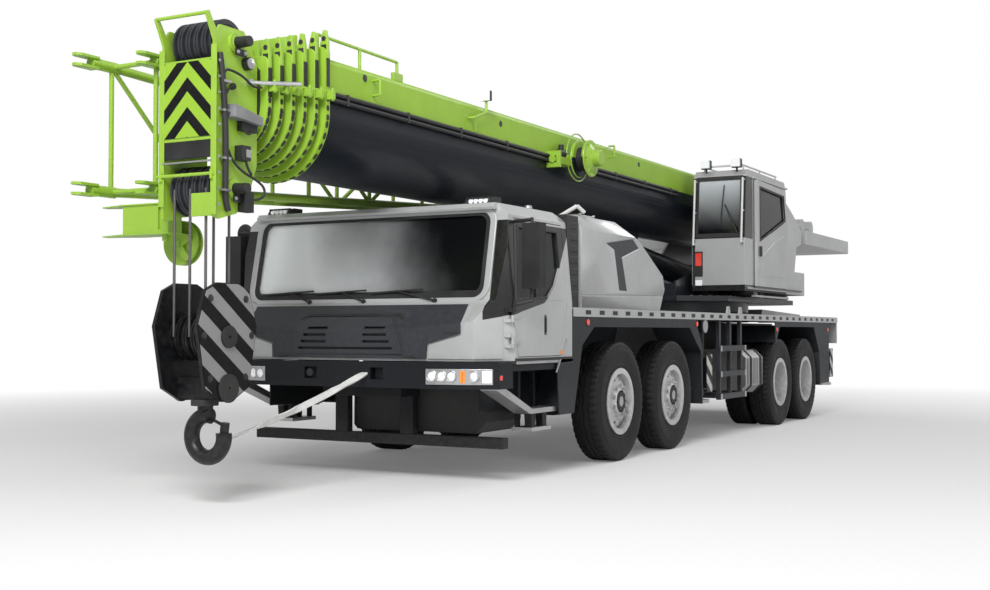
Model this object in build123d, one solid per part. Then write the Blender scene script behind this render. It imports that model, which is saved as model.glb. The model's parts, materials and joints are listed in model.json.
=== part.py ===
from build123d import *
import os
from math import cos, hypot, pi, sin

# A four-axle truck crane, parked with its boom laid forward over the cab.
# Millimetres. +X is forward, +Y the crane's left, +Z up. Every x below is measured from the
# first axle, every z from the ground. The finished pieces are moved by AXLE_1_X, so that the
# origin lies on the ground in the middle of the crane's length.

AXLE_1_X = 2530
HALF_WIDTH = 1500
FIT = 0.3                 # gap between pieces that seat on each other
RUNNING = 0.1             # radial gap between a pin or shaft and its hole
SLIDING = 0.6             # gap between a telescoping piece and its slide pads
CLEAR = 8                 # gap between pieces that pass each other

# Running gear
AXLE_X = {"1": 0, "2": -1500, "3": -5770, "4": -7120}
STEERED = ("1", "2")
DRIVEN = ("3", "4")
TYRE_R = 613
TYRE_WIDTH = 313
BEAD_R = 312
TRACK_Y = HALF_WIDTH - 187  # middle of the outer tyre
TWIN_GAP = 350            # between the middles of a pair of twin tyres
KINGPIN_Y = TRACK_Y - 213
KINGPIN_R = 27
SPINDLE_R = 38
WHEEL_HOLES = 10
HAND_HOLE_RING = 234
HAND_HOLE_R = 22
NUT_RING = 168

# Carrier
FRAME_HALF = 430
FRAME_FRONT_X = 2560
FRAME_REAR_X = -8860
FRAME_LOW = 760
FRAME_FRONT_LOW = 745
FRAME_TOP = 1462
DECK_FRONT_X = 1210
DECK_REAR_X = -8950
DECK_TOP = 1560
DECK_SHEET = 14
EDGE_HEIGHT = 86
EDGE_SHEET = 10
EDGE_SLOTS = 30
LIFTING_EYE_X = (-3480, -3970)
SLOT_SIZE = (62, 34)

# Carrier cab
CAB_FRONT_X = 2800
CAB_REAR_X = 1240
BUMPER_FRONT_X = 2845
CAB_FLOOR = 1075
CAB_ROOF = 2460
CAB_WALL = 56
CAB_ROOF_HALF = HALF_WIDTH - 75   # half width at the eaves
WAIST_Z = 1600
SCREEN_LOW = (2540, 1610)   # windscreen's lower edge, x and z
SCREEN_TOP = (2372, 2395)
SCREEN_HALF = HALF_WIDTH - 245
DOOR_GAP = 7
PANEL_THICK = 20
HANDLE_DEPTH = 22
HINGE = (2432, HALF_WIDTH - 8)    # the door hinges' axis, x and y
HINGE_R = 15
HINGE_PIN_R = 7
HINGE_HEIGHTS = (1250, 1470)
GLASS = 8

# Superstructure
SLEW_X = -5200
RING_R = 1120
RING_TOP = 1740
BED_TOP = 1812
CHEEK_Y = 560             # inner face of the turntable's side plates
CHEEK_SHEET = 34
TAIL_REAR_X = -10000
TAIL_Z = (2670, 2885)     # the tail frame's low and high face
WINCH_X = (-9230, -9770)
FOOT_PIN_R = 75
CYLINDER_LOW = (-6750, BED_TOP + 258)   # the cylinder's lower pin, x and z
BARREL_R = 165
ROD_R = 120
EYE_R = 130

# Boom
BOOM_LOW = 2620
BOOM_HEIGHT = 950
BOOM_TOP = BOOM_LOW + BOOM_HEIGHT
BOOM_HALF = 475
BOOM_SHEET = 12
FOOT = (-8300, BOOM_LOW + 460)           # boom foot pin, x and z
CYLINDER_HIGH = (-3250, BOOM_LOW - 195)  # the cylinder's upper pin, x and z
BOOM_REAR_X = FOOT[0] - 340
BOOM_FRONT_X = 3840
NEST_SIDE = 38            # how much narrower each section is on each side
NEST_TOP = 30
SECTIONS = 7
COLLAR_PITCH = 100
COLLAR_LENGTH = 58
COLLAR_RIM = 62           # how far a collar stands out from its section
HEAD_FRONT_X = BOOM_FRONT_X + 1010
HEAD_HALF = 262
JIB_TIP_X = HEAD_FRONT_X + 75
HEAD_SHEET = 22
UPPER_SHEAVE = (HEAD_FRONT_X - 225, BOOM_TOP - 40)
LOWER_SHEAVE = (HEAD_FRONT_X - 210, BOOM_LOW - 210)
SHEAVE_R = 190
RUNNER_R = 178
RUNNER = (LOWER_SHEAVE[0] - 210, -HEAD_HALF - 160, LOWER_SHEAVE[1] - 375)
SHEAVE_PITCH = 78
SHEAVE_COUNT = 5
SHEAVE_PIN_R = 48
GROOVE_DEPTH = 26
ROPE_R = 11
HOOK_TOP = 1700
HOOK_R = 160               # to the middle of the hook's bar
HOOK_THICK = 60
HOOK_SHEAVE_Z = HOOK_TOP - 410

# Outriggers: middle x of the box, then the half gap between its two beams
OUTRIGGER_X = {"front": -2745, "rear": -8655}
BEAM_WIDE = 200
BEAM_LOW, BEAM_HIGH = 690, 960
BEAM_GAP = 32
BOX_WALL = 20
BOX_HALF = HALF_WIDTH - 275
JACK_Y = HALF_WIDTH - 165
JACK_R = 88


def span(x, y, z):
    """A block between the low and the high value given for each axis."""
    lows, highs = zip(x, y, z)
    middle = [(low + high) / 2 for low, high in zip(lows, highs)]
    return Pos(*middle) * Box(*[high - low for low, high in zip(lows, highs)])


def side_cut(points, y):
    """A plate cut to an outline of (x, z) points, between two y values."""
    return side_face(Polygon(*points, align=None), y)


def side_face(sketch, y):
    """A plate from a sketch whose own axes are x and z, between two y values."""
    return extrude(Plane.XZ.offset(-y[1]) * sketch, y[1] - y[0], dir=(0, -1, 0))


def plan_cut(points, z):
    """A plate cut to an outline of (x, y) points, between two z values."""
    outline = Plane.XY.offset(z[0]) * Polygon(*points, align=None)
    return extrude(outline, z[1] - z[0], dir=(0, 0, 1))


def front_cut(points, x):
    """A plate cut to an outline of (y, z) points, between two x values."""
    outline = Plane.YZ.offset(x[0]) * Polygon(*points, align=None)
    return extrude(outline, x[1] - x[0], dir=(1, 0, 0))


def rod(start, end, radius):
    """A round bar from one point to another."""
    axis = Vector(*end) - Vector(*start)
    bar = Cylinder(radius, axis.length, align=(Align.CENTER, Align.CENTER, Align.MIN))
    return Plane(origin=start, z_dir=axis) * bar


def cross_bar(x, z, radius, y):
    """A round bar across the crane, between two y values."""
    return rod((x, y[0], z), (x, y[1], z), radius)


def turned(points):
    """A ring turned about the crosswise axis from an outline of (radius, y) points."""
    return revolve(Polygon(*points, align=None), Axis.Y)


def both_sides(shape):
    return shape + mirror(shape, about=Plane.XZ)


# ---------------------------------------------------------------- running gear

def tyre(middle_y):
    half = TYRE_WIDTH / 2
    outline = [(BEAD_R, -0.8 * half), (0.77 * TYRE_R, -half), (0.965 * TYRE_R, -0.9 * half),
               (TYRE_R, -0.68 * half), (TYRE_R, 0.68 * half), (0.965 * TYRE_R, 0.9 * half),
               (0.77 * TYRE_R, half), (BEAD_R, 0.8 * half)]
    return Pos(0, middle_y, 0) * turned(outline)


def rim_barrel(middle_y):
    """The rolled rim under one tyre, with a flange beside each bead."""
    half = 0.8 * TYRE_WIDTH / 2 + FIT
    seat = BEAD_R - FIT
    outline = [(seat - 26, -half - 24), (seat + 30, -half - 24), (seat + 30, -half - 12),
               (seat, -half), (seat, half), (seat + 30, half + 12), (seat + 30, half + 24),
               (seat - 26, half + 24), (seat - 18, 0)]
    return Pos(0, middle_y, 0) * turned(outline)


def with_holes_and_nuts(disc, face):
    """A wheel disc with its ring of hand holes and its ring of nuts standing on face."""
    for index in range(WHEEL_HOLES):
        turn = 2 * pi * index / WHEEL_HOLES
        x, z = HAND_HOLE_RING * cos(turn), HAND_HOLE_RING * sin(turn)
        disc -= cross_bar(x, z, HAND_HOLE_R, (face - 120, face + 60))
        turn += pi / WHEEL_HOLES
        disc += cross_bar(NUT_RING * cos(turn), NUT_RING * sin(turn), 14, (face - 10, face + 24))
    return disc


def front_wheel():
    """A steered wheel about its own middle: the disc bulges out towards the hub."""
    bore = SPINDLE_R + RUNNING
    disc = turned([(bore, 20), (150, 20), (200, 92), (262, 70), (BEAD_R - 12, 0),
                   (BEAD_R - 12, 26), (262, 92), (205, 118), (140, 118), (118, 150), (bore, 150)])
    return tyre(0) + rim_barrel(0) + with_holes_and_nuts(disc, 118)


def rear_wheel():
    """A twin wheel about its outer tyre's middle: both discs meet between the tyres."""
    bore = SPINDLE_R + RUNNING
    face = -TWIN_GAP / 2 + 40
    disc = turned([(bore, face - 60), (165, face - 60), (BEAD_R - 22, face - 90),
                   (BEAD_R - 22, face - 40), (200, face), (150, face), (130, face + 120),
                   (bore, face + 120)])
    barrels = rim_barrel(0) + rim_barrel(-TWIN_GAP) + with_holes_and_nuts(disc, face)
    spacer = turned([(BEAD_R - 40, -TWIN_GAP), (BEAD_R - 20, -TWIN_GAP), (BEAD_R - 20, 0),
                     (BEAD_R - 40, 0)])
    return tyre(0) + tyre(-TWIN_GAP) + barrels + spacer


def knuckle():
    """A left steering knuckle about its axle's middle: fork, kingpin, brake drum and spindle."""
    boss, arm = 78, 48
    fork = Pos(0, KINGPIN_Y, 0) * Cylinder(64, 2 * (boss + FIT + arm))
    fork -= Pos(0, KINGPIN_Y, 0) * Cylinder(80, 2 * (boss + FIT))
    pin = Pos(0, KINGPIN_Y, 0) * Cylinder(KINGPIN_R, 2 * (boss + arm))
    back_y = KINGPIN_Y + 74
    back = span((-64, 64), (back_y, back_y + 26), (-boss - arm, boss + arm))
    for side in (-1, 1):
        z = sorted((side * (boss + FIT), side * (boss + arm)))
        back += span((-64, 64), (KINGPIN_Y, back_y), z)
    spindle = cross_bar(0, 0, SPINDLE_R, (back_y, TRACK_Y + 140))
    steer_arm = span((-230, -40), (back_y - 60, back_y), (-boss - arm, -boss - FIT))
    return fork + pin + back + spindle + steer_arm


def axles():
    """Dropped beams under the cab, tube axles with a differential under the deck."""
    boss = 78
    pieces = None
    for name in STEERED:
        x, z = AXLE_X[name], TYRE_R
        beam = [(KINGPIN_Y - 40, z + 62), (930, z + 62), (720, z - 40), (-720, z - 40),
                (-930, z + 62), (40 - KINGPIN_Y, z + 62), (40 - KINGPIN_Y, z - 62),
                (-930, z - 62), (-720, z - 165), (720, z - 165), (930, z - 62),
                (KINGPIN_Y - 40, z - 62)]
        axle = front_cut(beam, (x - 55, x + 55))
        for side in (-1, 1):
            axle += Pos(x, side * KINGPIN_Y, z) * Cylinder(60, 2 * boss)
            axle -= Pos(x, side * KINGPIN_Y, z) * Cylinder(KINGPIN_R + RUNNING, 2 * boss)
        axle += both_sides(leaf_spring(x, z - 40, z + 260))
        pieces = axle if pieces is None else pieces + axle
    for name in DRIVEN:
        x, z = AXLE_X[name], TYRE_R
        inner_y = TRACK_Y - 1.5 * TWIN_GAP - 40
        tube = cross_bar(x, z, 92, (-inner_y, inner_y))
        tube += Pos(x, 0, z) * Sphere(235)
        tube += cross_bar(x, z, SPINDLE_R, (-TRACK_Y, TRACK_Y))
        tube += both_sides(leaf_spring(x, z + 60, z + 235))
        pieces += tube
    return pieces


def leaf_spring(x, low, high):
    """A left-hand spring pack and the post that ties it up to the frame."""
    y = (510, 600)
    leaves = side_cut([(x - 560, high - 30), (x - 560, high), (x, low + 95), (x + 560, high),
                       (x + 560, high - 30), (x, low)], y)
    posts = span((x - 560, x - 500), (FRAME_HALF, y[1]), (high - 30, high + 60))
    posts += span((x + 500, x + 560), (FRAME_HALF, y[1]), (high - 30, high + 60))
    return leaves + posts


# ---------------------------------------------------------------- carrier

def chassis_frame():
    """The welded box girder, low under the cab and engine and full depth under the deck."""
    outline = [(FRAME_FRONT_X, FRAME_FRONT_LOW), (FRAME_FRONT_X, 1030), (CAB_REAR_X, 1040), (1000, 1120),
               (-2150, 1120), (-2350, FRAME_TOP), (FRAME_REAR_X, FRAME_TOP),
               (FRAME_REAR_X, FRAME_LOW + 120), (-8300, FRAME_LOW), (-2600, FRAME_LOW),
               (-2300, 900), (500, 900), (1200, FRAME_FRONT_LOW)]
    girder = side_cut(outline, (-FRAME_HALF, FRAME_HALF))
    for name in STEERED + DRIVEN:
        x = AXLE_X[name]
        girder -= side_cut([(x - 290, 0), (x - 290, 860), (x - 200, 925), (x + 200, 925),
                            (x + 290, 860), (x + 290, 0)], (-FRAME_HALF, FRAME_HALF))
    for middle in OUTRIGGER_X.values():
        girder -= outrigger_form(middle, FIT)
    for x in (1400, 2420):
        for y in (-370, 370):
            girder += span((x - 60, x + 60), (y - 60, y + 60), (1000, CAB_FLOOR - FIT))
    ring = Pos(SLEW_X, 0, 0) * plan_ring(RING_R, FRAME_TOP, DECK_TOP + 40)
    return girder + ring


def plan_ring(radius, low, high, inner=0.0):
    ring = Pos(0, 0, (low + high) / 2) * Cylinder(radius, high - low)
    if inner:
        ring -= Pos(0, 0, (low + high) / 2) * Cylinder(inner, high - low)
    return ring


def deck():
    """The chequered deck each side of the frame, its slotted edge strip and the tail cover."""
    sheet = span((DECK_REAR_X, DECK_FRONT_X), (-HALF_WIDTH, HALF_WIDTH),
                 (DECK_TOP - DECK_SHEET, DECK_TOP))
    sheet -= span((-2150, 1000), (-520, 520), (DECK_TOP - 99, DECK_TOP + 99))
    sheet -= Pos(SLEW_X, 0, 0) * plan_ring(RING_R + CLEAR, FRAME_TOP, DECK_TOP + 40)
    edge = span((DECK_REAR_X, DECK_FRONT_X), (HALF_WIDTH - EDGE_SHEET, HALF_WIDTH),
                (DECK_TOP - EDGE_HEIGHT, DECK_TOP))
    pitch = (DECK_FRONT_X - DECK_REAR_X) / (EDGE_SLOTS + 1)
    long, high = SLOT_SIZE
    z = DECK_TOP - EDGE_HEIGHT / 2
    for index in range(EDGE_SLOTS):
        x = DECK_REAR_X + pitch * (index + 1)
        edge -= span((x - long / 2, x + long / 2), (HALF_WIDTH - 50, HALF_WIDTH + 50),
                     (z - high / 2, z + high / 2))
    bearers = None
    for x in (700, -2300, -3700, -6600, -8100):
        bearer = span((x - 30, x + 30), (FRAME_HALF, HALF_WIDTH - EDGE_SHEET),
                      (DECK_TOP - EDGE_HEIGHT, DECK_TOP - DECK_SHEET))
        bearers = bearer if bearers is None else bearers + bearer
    cover = side_cut([(-8870, DECK_TOP), (-8870, 1612), (-6760, 1668), (-6700, DECK_TOP)],
                     (-900, 900))
    eyes = None
    for x in LIFTING_EYE_X:
        eye = side_cut([(x - 60, DECK_TOP), (x + 60, DECK_TOP), (x + 30, DECK_TOP + 90),
                        (x - 30, DECK_TOP + 90)], (HALF_WIDTH - 60, HALF_WIDTH - 35))
        eye -= cross_bar(x, DECK_TOP + 55, 18, (HALF_WIDTH - 70, HALF_WIDTH - 25))
        eyes = eye if eyes is None else eyes + eye
    tail = span((DECK_REAR_X, DECK_REAR_X + 40), (HALF_WIDTH - 560, HALF_WIDTH - EDGE_SHEET),
                (DECK_TOP - 420, DECK_TOP - DECK_SHEET))
    return sheet + both_sides(edge + bearers + eyes + tail) + cover


def fenders():
    """Mudguards over both pairs of axles, each a bent band with a lip on its outer edge."""
    inner_y, outer_y = HALF_WIDTH - 490, HALF_WIDTH - 4
    top = DECK_TOP - EDGE_HEIGHT
    front_low = [(1515, 560), (1560, 1040), (1225, 1050), (1225, top), (-2160, top),
                 (-2398, 1130), (-2398, 470), (-2368, 470), (-2345, 1085), (-2160, 1215),
                 (-1960, 1375), (730, 1375), (1010, 1200), (1200, 560)]
    front = side_cut(front_low, (outer_y - 14, outer_y))
    band = [(1410, 600), (1400, 640), (1060, 1240), (760, 1410), (-1980, 1410), (-2190, 1240),
            (-2398, 1100), (-2398, 470), (-2386, 470), (-2380, 1085), (-2175, 1215),
            (-1965, 1390), (745, 1390), (1040, 1215), (1380, 600)]
    front += side_cut(band, (inner_y, outer_y))
    rear_face = [(-5420, top), (-8400, top), (-8400, 520), (-7840, 520), (-7790, 1010),
                 (-7480, 1400), (-5640, 1400), (-5460, 1180), (-5420, 1180)]
    rear = side_cut(rear_face, (outer_y - 14, outer_y))
    rear_band = [(-5420, 1180), (-5420, 1200), (-5630, 1420), (-7490, 1420), (-7810, 1020),
                 (-7860, 520), (-7840, 520), (-7790, 1010), (-7480, 1400), (-5640, 1400)]
    rear += side_cut(rear_band, (inner_y - 220, outer_y))
    rear += span((-8400, -8386), (inner_y, outer_y), (520, top))
    return both_sides(front + rear)


def outrigger_form(middle, grow):
    """The outside of one outrigger box, or of the slot it fills when it is grown."""
    reach = BEAM_GAP / 2 + BEAM_WIDE + BOX_WALL + grow
    return span((middle - reach, middle + reach), (-BOX_HALF, BOX_HALF),
                (BEAM_LOW - BOX_WALL - grow, BEAM_HIGH + BOX_WALL + grow))


def outrigger_boxes():
    """Two crosswise boxes, each with a tunnel for the left beam and one for the right."""
    boxes = None
    for middle in OUTRIGGER_X.values():
        box = outrigger_form(middle, 0)
        for side in (-1, 1):
            x = middle + side * (BEAM_GAP + BEAM_WIDE) / 2
            half = BEAM_WIDE / 2
            box -= span((x - half, x + half), (-HALF_WIDTH, HALF_WIDTH), (BEAM_LOW, BEAM_HIGH))
        boxes = box if boxes is None else boxes + box
    return boxes


def outrigger_beam(side, middle):
    """One sliding beam with the jack's outer tube and the striped plate on its end."""
    x = middle + side * (BEAM_GAP + BEAM_WIDE) / 2
    half = BEAM_WIDE / 2 - CLEAR
    low, high = BEAM_LOW + FIT, BEAM_HIGH - CLEAR
    beam = span((x - half, x + half), (25 - BOX_HALF, JACK_Y), (low, high))
    beam -= span((x - half + 14, x + half - 14), (-BOX_HALF, JACK_Y - 130), (low + 14, high - 14))
    tube = plan_ring(JACK_R, 560, 1330)
    bore = plan_ring(JACK_R - 16, 500, 1300)
    beam += Pos(x, JACK_Y, 0) * tube
    beam -= Pos(x, JACK_Y, 0) * bore
    plate = span((x - 100, x + 100), (HALF_WIDTH - 14, HALF_WIDTH - 4), (600, 1060))
    web = span((x - 12, x + 12), (JACK_Y + JACK_R - 6, HALF_WIDTH - 14), (650, 1010))
    return beam + plate + web


def outrigger_jack(side, middle):
    """The jack's inner rod and its foot, just clear of the tube that carries it."""
    x = middle + side * (BEAM_GAP + BEAM_WIDE) / 2
    shaft = plan_ring(JACK_R - 16 - FIT, 540, 1280)
    foot = plan_ring(150, 470, 510)
    neck = plan_ring(70, 505, 545)
    return Pos(x, JACK_Y, 0) * (shaft + neck + foot)


# ---------------------------------------------------------------- carrier cab

def cab_body(grow):
    """The cab's outer form, or one drawn in by a wall when grow is negative."""
    g = grow
    side = [(CAB_REAR_X - g, CAB_FLOOR - g), (CAB_FRONT_X + g, CAB_FLOOR - g),
            (CAB_FRONT_X + g, 1330), (SCREEN_LOW[0] + 60 + g, WAIST_Z - 30),
            (SCREEN_LOW[0] + g, SCREEN_LOW[1]), (SCREEN_TOP[0] + g, CAB_ROOF + g),
            (CAB_REAR_X + 60 - g, CAB_ROOF + g), (CAB_REAR_X - g, CAB_ROOF - 50 + g)]
    half, corner = HALF_WIDTH - 4 + g, 230
    plan = [(CAB_REAR_X - g, -half), (2380, -half), (CAB_FRONT_X - 70 + g, corner - half),
            (CAB_FRONT_X + g, 300 - half * 0.5), (CAB_FRONT_X + g, half * 0.5 - 300),
            (CAB_FRONT_X - 70 + g, half - corner), (2380, half), (CAB_REAR_X - g, half)]
    roof = CAB_ROOF_HALF + g
    front = [(-half, CAB_FLOOR - g), (half, CAB_FLOOR - g), (half, WAIST_Z), (roof, 2360),
             (roof - 110, CAB_ROOF + g), (110 - roof, CAB_ROOF + g), (-roof, 2360),
             (-half, WAIST_Z)]
    body = side_cut(side, (-half - 9, half + 9))
    body &= plan_cut(plan, (CAB_FLOOR - g - 9, CAB_ROOF + g + 9))
    return body & front_cut(front, (CAB_REAR_X - g - 9, CAB_FRONT_X + g + 99))


DOOR_OUTLINE = [(1500, CAB_FLOOR + 30), (2330, CAB_FLOOR + 30), (2420, 1500), (2300, 2330),
                (1340, 2330), (1340, 1600)]
WINDOW_OUTLINE = [(1440, 1640), (2340, 1600), (2240, 2270), (1440, 2270)]


def grown(points, amount):
    """An outline moved outwards all round by one distance."""
    outline = Polygon(*points, align=None)
    return offset(outline, amount, kind=Kind.INTERSECTION)


def cab_wall():
    return cab_body(0) - cab_body(-CAB_WALL)


def door_block(outline, sill):
    """The left side inside an outline, less the floor up to a sill's depth from the door."""
    block = side_face(outline, (HALF_WIDTH - 200, HALF_WIDTH + 9))
    floor_edge = HALF_WIDTH - 4 - CAB_WALL - sill
    return block - span((CAB_REAR_X, CAB_FRONT_X), (HALF_WIDTH - 209, floor_edge),
                        (CAB_FLOOR - 9, CAB_FLOOR + CAB_WALL + 9))


def door_knuckles():
    """Round knuckles on the door's hinge axis, and straps back over the cab's side to it."""
    x, y = HINGE
    built = None
    for middle in HINGE_HEIGHTS:
        z = (middle - 30, middle + 30)
        knuckle = Pos(x, y, 0) * plan_ring(HINGE_R, *z)
        knuckle += span((x - 110, x), (HALF_WIDTH - 4 + 2 * FIT, y + HINGE_R), z)
        knuckle += span((x - 110, x - 85), (y - HINGE_R, y + HINGE_R), z)
        knuckle -= Pos(x, y, 0) * plan_ring(HINGE_PIN_R + RUNNING, middle - 60, middle + 60)
        built = knuckle if built is None else built + knuckle
    return built


def shell_knuckles():
    """The knuckles over and under the door's, on their bracket, with the pin through them."""
    x, y = HINGE
    built = None
    for middle in HINGE_HEIGHTS:
        pin = Pos(x, y, 0) * plan_ring(HINGE_PIN_R, middle - 60, middle + 60)
        for z in ((middle - 60, middle - 30 - FIT), (middle + 30 + FIT, middle + 60)):
            pin += Pos(x, y, 0) * plan_ring(HINGE_R, *z)
            pin += span((x + 5, x + 45), (y - 90, y + 6), z)
        built = pin if built is None else built + pin
    return built


def cab_shell():
    """Roof, floor, pillars, back and front wall, with both doors and the glass cut out."""
    shell = cab_wall()
    shell -= both_sides(door_block(Polygon(*DOOR_OUTLINE, align=None), CLEAR))
    shell -= screen_block(0)
    shell -= span((CAB_REAR_X - 9, CAB_REAR_X + CAB_WALL + 9), (-700, 700), (1700, 2250))
    x, z = SCREEN_TOP
    visor = side_cut([(x - 60, z + 18), (x + 60, z + 6), (x + 72, z + 26), (x + 40, CAB_ROOF),
                      (x - 60, CAB_ROOF)], (110 - CAB_ROOF_HALF, CAB_ROOF_HALF - 110))
    corner = [(850, CAB_FLOOR + 20), (HALF_WIDTH - 20, CAB_FLOOR + 20),
              (HALF_WIDTH - 20, 1500), (HALF_WIDTH - 60, 1560), (HALF_WIDTH - 270, 1560),
              (HALF_WIDTH - 300, 1420), (HALF_WIDTH - 330, 1300), (855, 1215)]
    cheek = (cab_body(PANEL_THICK - 8) - cab_body(-5)) & front_cut(corner, (2500, 2900))
    return shell + visor + both_sides(shell_knuckles() + cheek)


def screen_block(shrink):
    """The windscreen's opening, as a block that leans back with the screen."""
    s = shrink
    half = SCREEN_HALF - s
    lean = (SCREEN_TOP[0] - SCREEN_LOW[0]) / (SCREEN_TOP[1] - SCREEN_LOW[1])
    low, high = SCREEN_LOW[1] + 20 + s, SCREEN_TOP[1] - 20 - s
    front = SCREEN_LOW[0] + lean * (low - SCREEN_LOW[1])
    top = SCREEN_LOW[0] + lean * (high - SCREEN_LOW[1])
    return side_cut([(front + 90, low), (top + 90, high), (top - 90, high), (front - 90, low)],
                    (-half, half))


def cab_glass():
    """The windscreen and the back window, seated in their openings."""
    lean = (SCREEN_TOP[0] - SCREEN_LOW[0]) / (SCREEN_TOP[1] - SCREEN_LOW[1])
    x, z = SCREEN_LOW
    sheet = side_cut([(x - 20, z), (x - 20 - GLASS, z), (x - 20 - GLASS + lean * 790, z + 790),
                      (x - 20 + lean * 790, z + 790)], (-SCREEN_HALF, SCREEN_HALF))
    screen = sheet & screen_block(FIT)
    back = span((CAB_REAR_X + 20, CAB_REAR_X + 20 + GLASS), (FIT - 700, 700 - FIT),
                (1700 + FIT, 2250 - FIT))
    return screen + back


def cab_door(side):
    """A door as thick as the cab's wall, its window pane, and the mirror that it carries."""
    left = (HALF_WIDTH - 200, HALF_WIDTH + 9)
    door = cab_wall() & door_block(grown(DOOR_OUTLINE, -DOOR_GAP), 0)
    door -= side_face(Polygon(*WINDOW_OUTLINE, align=None), left)
    door -= side_cut([(1775, 1300), (1825, 1300), (1825, 1480), (1775, 1480)],
                     (HALF_WIDTH - 4 - HANDLE_DEPTH, HALF_WIDTH + 9))
    pane = cab_body(-24) - cab_body(-24 - GLASS)
    pane &= side_face(grown(WINDOW_OUTLINE, -FIT), left)
    glass_y = HALF_WIDTH + 40
    arms = rod((2270, CAB_ROOF_HALF - 10, 2300), (2330, glass_y + 90, 2300), 16)
    arms += rod((2370, HALF_WIDTH - 30, 1560), (2330, glass_y + 90, 1600), 16)
    arms += rod((2330, glass_y + 90, 1590), (2330, glass_y + 90, 2320), 14)
    housing = plan_cut([(2300, glass_y), (2390, glass_y + 20), (2400, glass_y + 200),
                        (2310, glass_y + 215)], (1700, 2270))
    built = door + pane + arms + housing + door_knuckles()
    return built if side > 0 else mirror(built, about=Plane.XZ)


def front_skin(outline, thick):
    """A panel that follows the cab's front inside an outline of (y, z) points."""
    skin = cab_body(thick) - cab_body(FIT)
    return skin & front_cut(outline, (FRAME_FRONT_X - 60, CAB_FRONT_X + 99))


def mirrored_outline(points):
    """An outline of (y, z) points closed by its mirror image."""
    return points + [(-y, z) for y, z in reversed(points)]


def cab_front():
    """The dark panel under the windscreen with its raised shield, and the roof lamps."""
    low = CAB_FLOOR + 20
    wide = HALF_WIDTH - 345
    panel = front_skin(mirrored_outline([(wide, 1568), (wide, 1310), (840, 1225), (830, low)]),
                       PANEL_THICK)
    panel += front_skin(mirrored_outline([(430, 1462), (545, 1350), (610, 1135)]),
                        PANEL_THICK + 14)
    for row in range(4):
        z, outer = 1375 - 60 * row, 420 + 30 * row
        inner = 200 if row < 3 else -1
        for side in (-1, 1):
            y = sorted((side * inner, side * outer))
            panel -= span((CAB_FRONT_X - 200, CAB_FRONT_X + 99), y, (z - 22, z))
    lamp = side_cut([(2200, CAB_ROOF + FIT), (2365, CAB_ROOF + FIT), (2350, CAB_ROOF + 35),
                     (2290, CAB_ROOF + 60), (2200, CAB_ROOF + 60)],
                    (HALF_WIDTH - 520, HALF_WIDTH - 270))
    return panel + both_sides(lamp)


def bumper():
    """The steel bumper across the front and the underrun bar that hangs under it."""
    half = HALF_WIDTH - 6
    front = BUMPER_FRONT_X
    plan = [(front, -900), (front, 900), (front - 50, half - 264), (front - 180, half),
            (front - 420, half), (front - 420, half - 40), (front - 200, half - 60),
            (front - 90, half - 314), (front - 60, 880), (front - 60, -880),
            (front - 90, 314 - half),
            (front - 200, 60 - half), (front - 420, 40 - half), (front - 420, -half),
            (front - 180, -half), (front - 50, 264 - half)]
    bar = plan_cut(plan, (840, 1068))
    for side in (-1, 1):
        y = sorted((side * 870, side * 1190))
        bar -= span((front - 30, front + 9), y, (885, 1005))
        y = sorted((side * 290, side * 425))
        bar -= span((front - 99, front + 9), y, (912, 1015))
    for y in ((-FRAME_HALF, -FRAME_HALF + 120), (-130, 130), (FRAME_HALF - 120, FRAME_HALF)):
        bar += span((FRAME_FRONT_X + FIT, front - 50), y, (860, 1010))
    posts = both_sides(span((2280, 2360), (290, FRAME_HALF), (390, FRAME_FRONT_LOW - FIT)))
    rail = front_cut([(130 - half, 305), (half - 130, 305), (half - 130, 400),
                      (130 - half, 400)], (2270, 2370))
    return bar + posts + rail


def headlamps():
    front = CAB_FRONT_X + 15
    lamp = span((front + FIT, front + 34), (870 + FIT, 1190 - FIT), (885 + FIT, 1005 - FIT))
    return both_sides(lamp)


def cab_interior():
    """Two seats, the dash and the steering wheel, on the cab's floor."""
    floor = CAB_FLOOR + CAB_WALL + FIT
    pieces = None
    for y in (-780, 780):
        seat = span((1500, 2000), (y - 260, y + 260), (floor, floor + 470))
        seat += side_cut([(1480, floor + 470), (1620, floor + 470), (1520, 2280), (1400, 2280)],
                         (y - 250, y + 250))
        pieces = seat if pieces is None else pieces + seat
    half = HALF_WIDTH - 250
    dash = side_cut([(2460, floor), (2460, 1560), (2300, 1560), (2220, 1400), (2330, floor)],
                    (-half, half))
    column = rod((2300, 780, 1350), (2080, 780, 1620), 30)
    wheel = Plane(origin=(2080, 780, 1620), z_dir=(-220, 0, 270)) * Torus(215, 16)
    spoke = Plane(origin=(2080, 780, 1620), z_dir=(-220, 0, 270)) * Box(430, 50, 18)
    return pieces + dash + column + wheel + spoke


# ---------------------------------------------------------------- carrier equipment

def hood_form(grow):
    g = grow
    side = [(910 + g, DECK_TOP + FIT), (910 + g, 2440 + g), (870, 2470 + g), (-60, 2470 + g),
            (-610 - g, 2280 + g), (-1250 - g, 1950 + g / 2), (-1300 - g, 1800),
            (-1150 - g, DECK_TOP + FIT)]
    half = HALF_WIDTH - 60 + g
    front = [(-half, DECK_TOP), (half, DECK_TOP), (half, 2330), (half - 70, 2470 + g),
             (70 - half, 2470 + g), (-half, 2330)]
    return side_cut(side, (-half - 9, half + 9)) & front_cut(front, (-1400 - g, 990 + g))


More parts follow.
